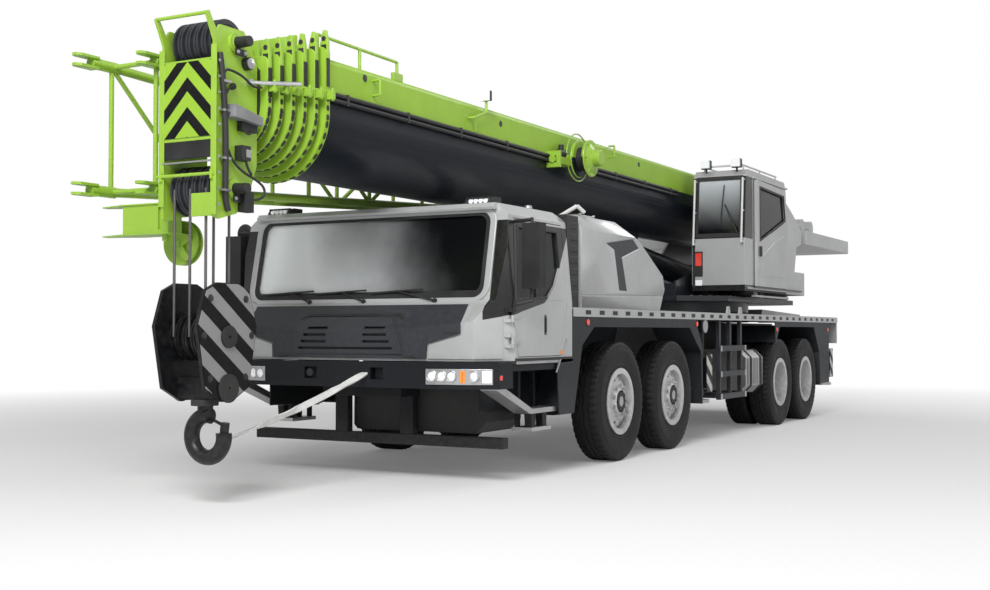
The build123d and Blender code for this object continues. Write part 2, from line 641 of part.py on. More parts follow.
def engine_hood():
    """The sheet cover over the engine, open below, with a slotted column ahead of it."""
    hood = hood_form(0) - Pos(0, 0, -FIT) * hood_form(-26)
    hood -= span((-1100, 800), (-1300, 1300), (DECK_TOP - 9, DECK_TOP + 60))
    arrow = [(330, 2230), (-390, 2320), (-560, 2220), (-100, 2100), (-230, 1750), (-20, 1750),
             (110, 2170)]
    side = HALF_WIDTH - 60
    hood -= both_sides(side_cut(arrow, (side - 6, side + 9)))
    hood -= both_sides(side_cut([(905, 1690), (905, 1678), (-1290, 1720), (-1290, 1732)],
                                (side - 6, side + 9)))
    lids = span((380, 760), (HALF_WIDTH - 360, HALF_WIDTH - 160), (2465, 2490))
    return hood + both_sides(lids)


def intake_column():
    """The dark duct that stands between the cab and the engine's cover."""
    half = HALF_WIDTH - 80
    column = span((935, 1205), (-half, half), (DECK_TOP + FIT, 2450))
    column -= span((975, 1165), (40 - half, half - 40), (DECK_TOP - 9, 2410))
    return column


def engine_block():
    """The engine's block under its cover, and the silencer's tub under the cab."""
    engine = span((-850, 720), (-400, 400), (1120 + FIT, 2080))
    side, under = FRAME_HALF + FIT, FRAME_FRONT_LOW - FIT
    tub = front_cut([(-300, under), (side, under), (side, 890), (HALF_WIDTH - 380, 890),
                     (HALF_WIDTH - 380, 520), (HALF_WIDTH - 480, 420), (-260, 420),
                     (-300, 460)], (1570, 2240))
    return engine + tub


def fuel_tank():
    """A drum-sided tank hung from the frame by two straps."""
    x = (-5120, -4370)
    outer = HALF_WIDTH - 100
    outline = [(700, 510), (outer - 100, 510), (outer, 610), (outer, 980), (outer - 100, 1080),
               (700, 1080), (640, 1020), (640, 570)]
    tank = front_cut(outline, x)
    tanks = tank
    for middle in (-4960, -4530):
        strap = front_cut([(690, 500), (outer - 95, 500), (outer + 10, 605), (outer + 10, 985),
                           (outer - 95, 1090), (690, 1090), (630, 1025), (630, 565)],
                          (middle - 35, middle + 35))
        strap += span((middle - 60, middle + 60), (FRAME_HALF + FIT, 660), (780, 1000))
        tanks += strap
    return tanks


def side_racks():
    """Barred stowage each side between the front outriggers and the tank."""
    pieces = None
    for z in (520, 800, 1120):
        bar = span((-4050, -3080), (HALF_WIDTH - 40, HALF_WIDTH - 4), (z - 34, z + 34))
        pieces = bar if pieces is None else pieces + bar
    for x in (-3150, -3560, -3990):
        pieces += span((x - 30, x + 30), (HALF_WIDTH - 90, HALF_WIDTH - 44),
                       (480, DECK_TOP - DECK_SHEET - FIT))
        pieces += span((x - 20, x + 20), (HALF_WIDTH - 60, HALF_WIDTH - 38), (500, 1140))
    pieces += span((-4040, -3100), (900, HALF_WIDTH - 100), (500, 540))
    for x in (-3150, -3990):
        pieces += span((x - 30, x + 30), (FRAME_HALF + FIT, HALF_WIDTH - 90), (500, 560))
        pieces += span((x - 30, x + 30), (FRAME_HALF + FIT, FRAME_HALF + 50), (560, 900))
    return both_sides(pieces)


def cab_steps():
    """Open steps and their brackets under each door."""
    pieces = span((1530, 2020), (HALF_WIDTH - 300, HALF_WIDTH - 40), (600, 634))
    pieces += span((1600, 1960), (HALF_WIDTH - 260, HALF_WIDTH - 60), (440, 464))
    for x in (1620, 1920):
        pieces += span((x, x + 40), (HALF_WIDTH - 240, HALF_WIDTH - 200), (464, 1000))
        pieces += span((x, x + 40), (FRAME_HALF + FIT, HALF_WIDTH - 200), (960, 1000))
    return both_sides(pieces)


def hook_sling():
    """The flat strap that ties the parked hook to the bumper."""
    start = (LOWER_SHEAVE[0] - HOOK_THICK - 40, 60, 480)
    end = (BUMPER_FRONT_X + 5.3, 250, 965)
    path = Vector(*end) - Vector(*start)
    sling = Plane(origin=start, z_dir=path) * Box(10, 60, path.length,
                                                  align=(Align.CENTER, Align.CENTER, Align.MIN))
    return sling


# ---------------------------------------------------------------- superstructure

def turntable():
    """The revolving bed, its two side plates up to the boom foot, and the slewing ring."""
    ring = plan_ring(RING_R, DECK_TOP + 40 + FIT, RING_TOP, RING_R - 190)
    bed = plan_cut([(1350, -620), (1350, 620), (900, 1180), (-2250, 1180), (-2450, 700),
                    (-2450, -700), (-2250, -1180), (900, -1180)], (RING_TOP, BED_TOP))
    built = Pos(SLEW_X, 0, 0) * (ring + bed)
    x, z = FOOT
    cheek = side_cut([(-3900, BED_TOP), (-3900, 2010), (-4700, 2180), (-6100, 2330),
                      (x + 700, z + 330), (x - 240, z + 330), (x - 330, z - 150),
                      (x + 200, z - 620), (-7620, BED_TOP)], (CHEEK_Y, CHEEK_Y + CHEEK_SHEET))
    cheek += cross_bar(x, z, 190, (CHEEK_Y, CHEEK_Y + CHEEK_SHEET + 40))
    built += both_sides(cheek)
    built += span((-4060, -3900), (-CHEEK_Y, CHEEK_Y), (BED_TOP, BED_TOP + 168))
    built += span((-8080, -7900), (-CHEEK_Y, CHEEK_Y), (2300, 2440))
    built += cross_bar(x, z, FOOT_PIN_R, (-CHEEK_Y - 60, CHEEK_Y + 60))
    low_x, low_z = CYLINDER_LOW
    for side in (-1, 1):
        y = sorted((side * (BARREL_R + 20), side * (BARREL_R + 60)))
        built += side_cut([(low_x - 260, BED_TOP), (low_x + 260, BED_TOP), (low_x + 130, 2200),
                           (low_x - 130, 2200)], y)
    built += cross_bar(low_x, low_z, 60, (-BARREL_R - 60, BARREL_R + 60))
    return built


def tail_frame():
    """The winch frame behind the boom foot: two beams, end tie, and the side covers."""
    outer = HALF_WIDTH - 60
    beam = span((TAIL_REAR_X, FOOT[0] - 120), (640, outer), TAIL_Z)
    beam += span((FOOT[0] - 140, FOOT[0] + 1000), (CHEEK_Y + CHEEK_SHEET + FIT, outer), TAIL_Z)
    tie = span((TAIL_REAR_X, FOOT[0] - 760), (-640, 640), TAIL_Z)
    return both_sides(beam) + tie


def winches():
    """The main and the auxiliary winch, their drums side by side over the tail frame."""
    built = None
    seat = TAIL_Z[1] + FIT
    z = TAIL_Z[1] + 225
    for x in WINCH_X:
        drum = cross_bar(x, z, 165, (-520, 520))
        for y in (-540, 500):
            drum += cross_bar(x, z, 222, (y, y + 40))
        for y in (-600, 560):
            drum += side_cut([(x - 200, seat), (x + 200, seat), (x + 120, z + 90),
                              (x - 120, z + 90)], (y, y + 40))
        drum += cross_bar(x, z, 60, (-620, 620))
        drum += cross_bar(x, z, 130, (600, 860))
        built = drum if built is None else built + drum
    return built


OP_FRONT_X = -4350
OP_REAR_X = -6300
OP_INNER, OP_OUTER = 655, HALF_WIDTH - 102
OP_DOOR_Y = (OP_OUTER + CLEAR, OP_OUTER + 52)
OP_LOW, OP_ROOF = 1880, 3530
OP_WALL = 44
OP_DOOR = [(-4750, 1950), (-4750, 3410), (-6130, 3380), (-6210, 2900), (-6210, 1950)]
OP_DOORWAY = [(-4800, 1990), (-4800, 3370), (-6090, 3340), (-6160, 2900), (-6160, 1990)]
OP_WINDOW = [(-4860, 2560), (-4860, 3330), (-6040, 3300), (-6120, 2930), (-5700, 2800)]


def operator_body(grow):
    g = grow
    side = [(OP_FRONT_X + g, OP_LOW - g), (OP_FRONT_X + g, 2570), (OP_FRONT_X - 90 + g, 3450),
            (OP_FRONT_X - 180, OP_ROOF + g), (OP_REAR_X + 60, OP_ROOF - 10 + g),
            (OP_REAR_X - g, 3420), (OP_REAR_X - g, OP_LOW - g)]
    return side_cut(side, (OP_INNER - g, OP_OUTER + g))


def operator_cab():
    """The operator's cab: a hollow shell with a glazed front and a sliding door's opening."""
    shell = operator_body(0) - operator_body(-OP_WALL)
    shell -= side_cut(OP_DOORWAY, (OP_OUTER - 60, OP_OUTER + 9))
    bottom, top = OP_DOOR[0][1] - FIT, OP_DOOR[1][1] + CLEAR
    for rear, low, high in ((-7050, bottom - 24, bottom), (OP_REAR_X, top, top + 24)):
        shell += span((rear, -4700), (OP_OUTER, OP_OUTER + 34), (low, high))
    shell -= operator_screen(0)
    shell -= side_cut([(-4800, 2600), (-4800, 3300), (-6100, 3300), (-6100, 2600)],
                      (OP_INNER - 9, OP_INNER + 60))
    shell += span((OP_FRONT_X - 900, OP_FRONT_X - 700), (OP_INNER + 100, OP_OUTER - 100),
                  (BED_TOP, OP_LOW))
    shell += span((-6200, -6000), (OP_INNER + 100, OP_OUTER - 300), (BED_TOP, OP_LOW))
    seat = span((-5900, -5350), (OP_INNER + 150, OP_OUTER - 150), (OP_LOW + OP_WALL, 2420))
    seat += span((-6020, -5860), (OP_INNER + 160, OP_OUTER - 160), (OP_LOW + OP_WALL, 3150))
    return shell + seat


def operator_screen(shrink):
    s = shrink
    return side_cut([(OP_FRONT_X + 60, 2600 + s), (OP_FRONT_X - 60, 2600 + s),
                     (OP_FRONT_X - 150, 3400 - s), (OP_FRONT_X + 60, 3400 - s)],
                    (OP_INNER + 60 + s, OP_OUTER - 60 - s))


def operator_glass():
    """The front screen and the fixed pane towards the boom."""
    screen = (operator_body(-12) - operator_body(-12 - GLASS)) & operator_screen(FIT)
    pane = side_cut([(-4800 - FIT, 2600 + FIT), (-4800 - FIT, 3300 - FIT),
                     (-6100 + FIT, 3300 - FIT), (-6100 + FIT, 2600 + FIT)],
                    (OP_INNER + 14, OP_INNER + 14 + GLASS))
    return screen + pane


def operator_door():
    """The sliding door, as thick as the wall, with its pane."""
    door = side_cut(OP_DOOR, OP_DOOR_Y)
    door -= side_cut(OP_WINDOW, (OP_OUTER - 99, OP_OUTER + 99))
    pane = side_face(grown(OP_WINDOW, -FIT), (OP_OUTER + 20, OP_OUTER + 20 + GLASS))
    return door + pane


def operator_covers():
    """Sheet covers behind the operator's cab, over the slewing gear and oil tank."""
    low = span((-7320, OP_REAR_X - FIT), (700, OP_OUTER), (OP_LOW, 2230))
    low -= span((-7290, OP_REAR_X - 30), (730, OP_OUTER - 30), (OP_LOW - 9, 2200))
    high = side_cut([(OP_REAR_X - FIT, 2230), (OP_REAR_X - FIT, 3250), (-6730, 3080),
                     (-7180, 2860), (-7180, 2660), (-6900, 2600), (-6780, 2230)],
                    (OP_OUTER - 500, OP_OUTER))
    high -= side_cut([(OP_REAR_X - 30, 2200), (OP_REAR_X - 30, 3200), (-6700, 3040),
                      (-7100, 2830), (-6860, 2620), (-6740, 2200)],
                     (OP_OUTER - 470, OP_OUTER - 30))
    feet = span((-7250, -7100), (760, 1160), (BED_TOP, OP_LOW))
    return low + high + feet


def lift_direction():
    """The lift cylinder's length, pin to pin, and its unit direction in x and z."""
    run, rise = CYLINDER_HIGH[0] - CYLINDER_LOW[0], CYLINDER_HIGH[1] - CYLINDER_LOW[1]
    length = hypot(run, rise)
    return length, run / length, rise / length


def along_cylinder(distance):
    _, run, rise = lift_direction()
    return (CYLINDER_LOW[0] + distance * run, 0, CYLINDER_LOW[1] + distance * rise)


def lift_barrel():
    length, _, _ = lift_direction()
    barrel = rod(along_cylinder(60), along_cylinder(length - 330), BARREL_R)
    x, z = CYLINDER_LOW
    barrel += cross_bar(x, z, EYE_R, (-BARREL_R + 10, BARREL_R - 10))
    barrel -= cross_bar(x, z, 60 + RUNNING, (-BARREL_R, BARREL_R))
    return barrel - rod(along_cylinder(300), along_cylinder(length - 300), ROD_R + FIT)


def lift_rod():
    length, _, _ = lift_direction()
    shaft = rod(along_cylinder(320), along_cylinder(length - 60), ROD_R)
    x, z = CYLINDER_HIGH
    shaft += cross_bar(x, z, EYE_R, (-ROD_R, ROD_R))
    half = ROD_R + 12 - FIT
    return shaft + cross_bar(x, z, 55, (-half, half))


# ---------------------------------------------------------------- boom

def boom_outline(half, low, high, corner):
    """A section's outline: a half-round belly under straight sides and a flat top."""
    belly = low + half
    outline = Pos(0, (belly + high) / 2) * Rectangle(2 * half, high - belly)
    outline = fillet(outline.vertices().group_by(Axis.Y)[-1], corner)
    return outline + Pos(0, belly) * Circle(half)


def boom_bar(number, grow, x):
    """A bar with the outline of one boom section, made larger all round by grow."""
    inset = number - 1
    outline = boom_outline(BOOM_HALF - NEST_SIDE * inset + grow,
                           BOOM_LOW + NEST_SIDE * inset - grow,
                           BOOM_TOP - NEST_TOP * inset + grow, 50)
    return extrude(Plane.YZ.offset(x[0]) * outline, x[1] - x[0])


def section_rear(number):
    return BOOM_REAR_X + 680 + 70 * (number - 2)


def section_front(number):
    return BOOM_FRONT_X + COLLAR_PITCH * (number - 1)


def collar(number):
    """The front collar: a stout rim, two lugs on top, and slide pads for the next section."""
    front = section_front(number)
    x = (front - COLLAR_LENGTH, front)
    ring = boom_bar(number, COLLAR_RIM, x)
    top = BOOM_TOP - NEST_TOP * (number - 1)
    y = 190 - 14 * number
    for side in (-1, 1):
        lug = span((x[0] + 14, x[1] - 14), (side * y - 40, side * y + 40),
                   (top, top + COLLAR_RIM + 130))
        ring += lug
    return ring - boom_bar(number + 1, SLIDING, (x[0] - 9, x[1] + 9))


def boom_base():
    """The base section, its foot bosses, the collar and the brackets under and beside it."""
    tube = boom_bar(1, 0, (BOOM_REAR_X, BOOM_FRONT_X))
    tube -= boom_bar(1, -BOOM_SHEET, (BOOM_REAR_X - 9, BOOM_FRONT_X + 9))
    x, z = FOOT
    tube += both_sides(cross_bar(x, z, 210, (BOOM_HALF - 60, CHEEK_Y - CLEAR)))
    tube -= cross_bar(x, z, FOOT_PIN_R + RUNNING, (-CHEEK_Y, CHEEK_Y))
    tail = side_cut([(BOOM_REAR_X - 50, z - 60), (BOOM_REAR_X - 50, BOOM_TOP + 50),
                     (x - 30, BOOM_TOP + 50)], (-BOOM_HALF - 9, BOOM_HALF + 9))
    tail += side_cut([(BOOM_REAR_X - 50, z + 60), (BOOM_REAR_X - 50, BOOM_LOW - 50),
                      (x - 130, BOOM_LOW - 50)], (-BOOM_HALF - 9, BOOM_HALF + 9))
    tube -= tail
    tube += collar(1)
    high_x, high_z = CYLINDER_HIGH
    for side in (-1, 1):
        y = sorted((side * (ROD_R + 12), side * (ROD_R + 52)))
        bracket = side_cut([(high_x - 420, BOOM_LOW + 60), (high_x + 420, BOOM_LOW + 60),
                            (high_x + 150, high_z - 120), (high_x - 150, high_z - 120)], y)
        boss = sorted((side * (ROD_R + 12), side * (ROD_R + 90)))
        bracket += cross_bar(high_x, high_z, 105, boss)
        tube += bracket - boom_bar(1, -1, (high_x - 500, high_x + 500))
    return tube + hose_reel()


def boom_section(number):
    """A nested section with its rear slide ring and, but for the last, its front collar."""
    rear, front = section_rear(number), section_front(number)
    last = number == SECTIONS
    front = HEAD_FRONT_X - 410 if last else front
    outer = boom_bar(number, 0, (rear, front))
    shell = outer - boom_bar(number, -BOOM_SHEET, (rear - 9, front + 9))
    shoe = boom_bar(number - 1, -BOOM_SHEET - SLIDING, (rear, rear + 60))
    shell += shoe - boom_bar(number, -BOOM_SHEET, (rear - 9, rear + 99))
    return shell + (boom_head() if last else collar(number))


def boom_head():
    """Two side plates that carry the sheave pins, tied by the front plate and cross plates."""
    x, top, low = HEAD_FRONT_X, BOOM_TOP, BOOM_LOW
    plate = side_cut([(x - 490, low + 230), (x - 490, top - 170), (x - 400, top - 10),
                      (x - 330, top + 70), (x - 60, top + 70), (x, top - 10), (x, low - 430),
                      (x - 60, low - 445), (x - 260, low - 390), (x - 400, low - 240),
                      (x - 490, low)], (HEAD_HALF - HEAD_SHEET, HEAD_HALF))
    arm = side_cut([(x - 60, top - 40), (x + 60, top + 150), (x + 90, top + 130),
                    (x, top - 60)], (HEAD_HALF - HEAD_SHEET, HEAD_HALF))
    head = both_sides(plate + arm)
    head += cross_bar(x + 70, top + 135, 14, (-HEAD_HALF, HEAD_HALF))
    head += span((x - 16, x), (-HEAD_HALF, HEAD_HALF), (low + 150, low + 765))
    head += span((x - 380, x - 16), (-HEAD_HALF, HEAD_HALF), (low + 140, low + 170))
    head += span((x - 12, x), (40, HEAD_HALF), (low - 425, low - 250))
    head += cross_bar(x + 12, low - 110, 13, (-HEAD_HALF - 30, HEAD_HALF + 10))
    head += both_sides(span((x - 20, x + 25), (HEAD_HALF - HEAD_SHEET, HEAD_HALF),
                            (low - 150, low - 80)))
    for pin_x, pin_z in (UPPER_SHEAVE, LOWER_SHEAVE):
        head += cross_bar(pin_x, pin_z, SHEAVE_PIN_R, (-HEAD_HALF - 30, HEAD_HALF + 30))
        head += cross_bar(pin_x, pin_z, 78, (HEAD_HALF - 5, HEAD_HALF + 24))
        head += cross_bar(pin_x, pin_z, 38, (HEAD_HALF, HEAD_HALF + 150))
    return head + runner()


def runner():
    """The runner folded at the head's right side: its arm, two plates and one sheave."""
    x, y, z = RUNNER
    near, far = -HEAD_HALF - 58, -HEAD_HALF - 538
    front, back = HEAD_FRONT_X - 140, HEAD_FRONT_X - 290
    low, high = BOOM_LOW - 520, BOOM_LOW - 295
    arm = span((back, front), (far, near), (low, high))
    arm -= span((front - 20, front + 9), (near - 108, near - 73), (low + 25, high - 25))
    arm += span((back + 10, front - 10), (near - 10, 10 - HEAD_HALF), (high - 100, high - 20))
    outline = [(x + 45, near + 10), (front + 12, near + 10), (front + 12, far),
               (front - 60, far - 285), (back + 30, far - 285), (x + 45, far)]
    plates = plan_cut(outline, (high, high + 10)) + plan_cut(outline, (low - 10, low))
    cheek = front_cut([(y - 140, low), (y + 140, low), (y + 110, z + 10), (y + 45, z - 25),
                       (y + 115, z - 130), (y + 75, z - 145), (y - 45, z - 45),
                       (y - 110, z + 5)], (x + 45, x + 63))
    wheel = Pos(x, y, z) * Rot(0, 0, 90) * grooved_sheave(0, 0, RUNNER_R, 0, 20)
    pin = rod((x - 60, y, z), (x + 75, y, z), 26)
    lock = rod((back + 90, near - 90, low - 60), (back + 90, near - 90, high + 40), 22)
    return arm + plates + cheek + wheel + pin + lock


def grooved_sheave(x, z, radius, middle, bore):
    """One sheave with a rope groove, about a crosswise pin."""
    half, groove = SHEAVE_PITCH / 2 - 4, ROPE_R + 2
    floor = radius - GROOVE_DEPTH
    ring = turned([(bore, -half), (radius, -half), (radius, -groove - 4), (floor, -groove),
                   (floor, groove), (radius, groove + 4), (radius, half), (bore, half)])
    return Pos(x, middle, z) * ring


def sheave_places():
    return [(index - (SHEAVE_COUNT - 1) / 2) * SHEAVE_PITCH for index in range(SHEAVE_COUNT)]


def sheave_row(pin, radius, bore):
    """A row of sheaves side by side on one pin."""
    row = None
    for y in sheave_places():
        sheave = grooved_sheave(*pin, radius, y, bore)
        row = sheave if row is None else row + sheave
    return row


def head_sheaves():
    """The rows of sheaves on the head's upper and lower pins."""
    bore = SHEAVE_PIN_R + RUNNING
    return sheave_row(UPPER_SHEAVE, SHEAVE_R, bore) + sheave_row(LOWER_SHEAVE, SHEAVE_R, bore)


def hoist_ropes():
    """The falls of rope, by turns on the front and the back of the sheaves they leave."""
    x, z = LOWER_SHEAVE
    offset = SHEAVE_R - GROOVE_DEPTH + ROPE_R + FIT
    falls = None
    for index, y in enumerate(sheave_places()):
        side = offset if index % 2 == 0 else -offset
        fall = rod((x + side, y, HOOK_SHEAVE_Z), (x + side, y, z), ROPE_R)
        falls = fall if falls is None else falls + fall
    return falls


def hook_block():
    """Cheek plates round the sheaves, the crosshead between them and the hook below."""
    x, top = LOWER_SHEAVE[0], HOOK_TOP
    cheek = [(x - 250, top - 60), (x - 120, top), (x + 120, top), (x + 250, top - 60),
             (x + 340, top - 330), (x + 250, top - 800), (x + 60, top - 900),
             (x - 60, top - 900), (x - 250, top - 800), (x - 340, top - 330)]
    inner = sheave_places()[-1] + SHEAVE_PITCH / 2 - 2
    block = both_sides(side_cut(cheek, (inner, inner + 30)))
    block += cross_bar(x, HOOK_SHEAVE_Z, SHEAVE_PIN_R, (-inner - 30, inner + 30))
    block += sheave_row((x, HOOK_SHEAVE_Z), SHEAVE_R, SHEAVE_PIN_R - 4)
    block += span((x - 90, x + 90), (-inner, inner), (top - 880, top - 720))
    block += rod((x, 0, top - 1000), (x, 0, top - 860), 55)
    return block + hook(x)


def hook(x):
    """The forged hook below its shank, open towards the crane's left, with its latch."""
    z = HOOK_TOP - 1170
    ring = Pos(x, HOOK_R / 5, z) * Rot(0, 90, 0) * Torus(HOOK_R, HOOK_THICK)
    ring -= span((x - 90, x + 90), (60, 300), (z + 30, z + 300))
    tip_y = HOOK_R / 5 + HOOK_R
    ring += rod((x, tip_y, z + 20), (x, tip_y + 12, z + 110), 34)
    ring += rod((x, 20, z + 250), (x, 10, z + 120), 50)
    latch = rod((x, 30, z + 150), (x, tip_y - 10, z + 90), 12)
    return ring + latch


def lattice_jib():
    """The four-chord swing-away jib stowed along the boom's right side."""
    stations = [(-3600, -700, -960, 2900, 3180), (4520, -640, -1130, 2470, 3500)]
    (x0, in0, out0, low0, high0), (x1, in1, out1, low1, high1) = stations
    corners = [(in0, low0, in1, low1), (out0, low0, out1, low1), (in0, high0, in1, high1),
               (out0, high0, out1, high1)]
    chord_r, lace_r, bays = 38, 20, 8
    built = None
    for y0, z0, y1, z1 in corners:
        chord = rod((x0, y0, z0), (x1, y1, z1), chord_r)
        built = chord if built is None else built + chord

    def at(corner, share):
        y0, z0, y1, z1 = corners[corner]
        return (x0 + share * (x1 - x0), y0 + share * (y1 - y0), z0 + share * (z1 - z0))

    for bay in range(bays + 1):
        share = bay / bays
        for a, b in ((0, 2), (1, 3), (0, 1), (2, 3)):
            built += rod(at(a, share), at(b, share), lace_r)
    for bay in range(bays):
        low, high = bay / bays, (bay + 1) / bays
        flip = bay % 2
        for a, b in ((0, 2), (1, 3)):
            ends = (a, b) if flip else (b, a)
            built += rod(at(ends[0], low), at(ends[1], high), lace_r)
    for corner in range(4):
        y, z = corners[corner][2:]
        tip = JIB_TIP_X if corner % 2 else JIB_TIP_X - 200
        built += rod((x1 - 40, y, z), (tip - 175, y, z), chord_r + 8)
        for low in (z - 51, z + 31):
            built += plan_cut([(tip - 230, y - 50), (tip - 40, y - 50), (tip, y - 20),
                               (tip, y + 20), (tip - 40, y + 50), (tip - 230, y + 50)],
                              (low, low + 20))
    for share in (0.25, 0.82):
        x, y, z = at(2, share)
        built += span((x - 60, x + 60), (y - 20, -BOOM_HALF - FIT), (z - 60, z + 30))
    return built


def hose_reel():
    """The cable reel on the boom's left side."""
    x, z = -830, 3270
    reel = cross_bar(x, z, 200, (BOOM_HALF + 120, BOOM_HALF + 150))
    reel += cross_bar(x, z, 200, (BOOM_HALF + 250, BOOM_HALF + 280))
    reel += cross_bar(x, z, 120, (BOOM_HALF + 120, BOOM_HALF + 280))
    return reel + cross_bar(x, z, 60, (BOOM_HALF - 5, BOOM_HALF + 130))


# ---------------------------------------------------------------- the nodes

def at_axle(name, shape, side):
    """A left wheel or knuckle set on its axle, mirrored for the right."""
    placed = Pos(AXLE_X[name], 0, TYRE_R) * shape
    return placed if side > 0 else mirror(placed, about=Plane.XZ)


def all_nodes():
    nodes = {
        "chassis_frame": chassis_frame(), "deck": deck(), "fenders": fenders(),
        "outrigger_boxes": outrigger_boxes(), "cab_shell": cab_shell(),
        "cab_glass": cab_glass(), "cab_front": cab_front(), "bumper": bumper(),
        "headlamps": headlamps(), "cab_interior": cab_interior(),
        "engine_hood": engine_hood(), "intake_column": intake_column(),
        "engine_block": engine_block(), "fuel_tank": fuel_tank(), "side_racks": side_racks(),
        "cab_steps": cab_steps(), "axles": axles(), "hook_sling": hook_sling(),
        "turntable": turntable(), "tail_frame": tail_frame(), "winches": winches(),
        "operator_cab": operator_cab(), "operator_glass": operator_glass(),
        "operator_door": operator_door(), "operator_covers": operator_covers(),
        "lift_barrel": lift_barrel(), "lift_rod": lift_rod(), "boom_base": boom_base(),
        "head_sheaves": head_sheaves(), "hoist_ropes": hoist_ropes(),
        "hook_block": hook_block(), "lattice_jib": lattice_jib(),
    }
    for number in range(2, SECTIONS + 1):
        nodes[f"boom_section_{number}"] = boom_section(number)
    for hand, side in (("left", 1), ("right", -1)):
        nodes[f"cab_door_{hand}"] = cab_door(side)
        for name in STEERED:
            wheel = Pos(0, TRACK_Y, 0) * front_wheel()
            nodes[f"wheel_{name}_{hand}"] = at_axle(name, wheel, side)
            nodes[f"knuckle_{name}_{hand}"] = at_axle(name, knuckle(), side)
        for name in DRIVEN:
            wheel = Pos(0, TRACK_Y, 0) * rear_wheel()
            nodes[f"wheel_{name}_{hand}"] = at_axle(name, wheel, side)
        for place, middle in OUTRIGGER_X.items():
            beam = outrigger_beam(1, middle)
            jack = outrigger_jack(1, middle)
            if side < 0:
                swap = Pos(-BEAM_GAP - BEAM_WIDE, 0, 0)
                beam = swap * mirror(beam, about=Plane.XZ)
                jack = swap * mirror(jack, about=Plane.XZ)
            nodes[f"outrigger_beam_{place}_{hand}"] = beam
            nodes[f"outrigger_jack_{place}_{hand}"] = jack
    return nodes


os.makedirs("parts", exist_ok=True)
for name, shape in all_nodes().items():
    export_step(Pos(AXLE_1_X, 0, 0) * shape, f"parts/{name}.step")
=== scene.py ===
# %% [markdown]
# A truck crane is mostly painted steel plate: a long telescopic boom over a four-axle carrier.
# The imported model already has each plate, tube and pin at its real size, so this lesson starts
# from it. Each piece is then either softened and painted, or built again with finer detail.
# %% Load the frame
import json
from math import cos, pi, radians, sin

import bmesh
import bpy
from mathutils import Matrix, Vector

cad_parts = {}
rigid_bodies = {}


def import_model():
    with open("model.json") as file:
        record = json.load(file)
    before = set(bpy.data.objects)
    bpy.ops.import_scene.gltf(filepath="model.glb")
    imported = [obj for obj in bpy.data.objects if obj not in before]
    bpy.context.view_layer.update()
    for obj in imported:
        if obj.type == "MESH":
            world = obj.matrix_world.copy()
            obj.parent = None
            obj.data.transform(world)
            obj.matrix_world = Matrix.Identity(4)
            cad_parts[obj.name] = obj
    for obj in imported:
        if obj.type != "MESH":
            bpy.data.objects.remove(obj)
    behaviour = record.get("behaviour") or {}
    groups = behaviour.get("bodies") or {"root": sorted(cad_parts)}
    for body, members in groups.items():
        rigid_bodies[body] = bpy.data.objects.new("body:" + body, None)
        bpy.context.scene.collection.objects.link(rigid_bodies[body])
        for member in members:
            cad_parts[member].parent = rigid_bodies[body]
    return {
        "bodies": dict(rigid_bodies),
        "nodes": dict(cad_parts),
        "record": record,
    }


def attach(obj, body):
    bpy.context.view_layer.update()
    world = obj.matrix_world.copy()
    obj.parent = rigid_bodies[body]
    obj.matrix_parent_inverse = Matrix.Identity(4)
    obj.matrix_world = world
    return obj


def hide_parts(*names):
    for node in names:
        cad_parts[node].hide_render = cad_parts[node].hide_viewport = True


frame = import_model()
NODES = frame["nodes"]
SLOTS = {part["node"]: part["material_slot"] for part in frame["record"]["subparts"]}
BODY_OF = {node: next(name for name, empty in frame["bodies"].items() if empty == piece.parent)
           for node, piece in NODES.items()}
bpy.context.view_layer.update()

# %% [markdown]
# The camera stands low, ahead and to the left of the crane, as a person does who looks up at the
# boom's head. A lens of 46 mm on a 36 mm sensor is near what the eye sees. Placing it first lets
# every later render be judged from the same spot.
# %% Camera
scene = bpy.context.scene
eye = bpy.data.objects.new("camera", bpy.data.cameras.new("camera"))
eye.location = (14.597, 6.627, 1.329)
eye.rotation_euler = (radians(91.663), 0, radians(118.849))
eye.data.sensor_width = 36
eye.data.lens = 46.01
eye.data.clip_end = 400
scene.collection.objects.link(eye)
scene.camera = eye
scene.view_settings.view_transform = "Standard"
print("camera", eye.location[:])

# %% [markdown]
# A finish in Blender is a small tree of nodes. Two helpers keep the trees short: one adds a node
# and sets its values, the other does arithmetic between sockets. With them a paint reads almost
# like its recipe: pigment, patches of dust, orange peel.
# %% Node helpers
def fresh_finish(name):
    """A new material, its tree and its Principled shader."""
    finish = bpy.data.materials.new(name)
    finish.use_nodes = True
    tree = finish.node_tree
    tree.nodes.clear()
    shader = tree.nodes.new("ShaderNodeBsdfPrincipled")
    output = tree.nodes.new("ShaderNodeOutputMaterial")
    tree.links.new(shader.outputs[0], output.inputs[0])
    return finish, tree, shader


def join(tree, socket, value):
    """Links a socket to value where value is a socket too, and else sets it."""
    if isinstance(value, bpy.types.NodeSocket):
        tree.links.new(value, socket)
    else:
        socket.default_value = value


def feed(tree, node, **inputs):
    """Sets or links a node's inputs by name."""
    for key, value in inputs.items():
        join(tree, node.inputs[key.replace("_", " ")], value)


def put(tree, kind, settings=None, **inputs):
    """Adds a node, sets its settings, and fills its inputs by name."""
    node = tree.nodes.new("ShaderNode" + kind)
    for key, value in (settings or {}).items():
        setattr(node, key, value)
    feed(tree, node, **inputs)
    return node


def calc(tree, operation, *values):
    """The socket that holds one step of arithmetic on the values."""
    node = tree.nodes.new("ShaderNodeMath")
    node.operation = operation
    for socket, value in zip(node.inputs, values):
        join(tree, socket, value)
    return node.outputs[0]


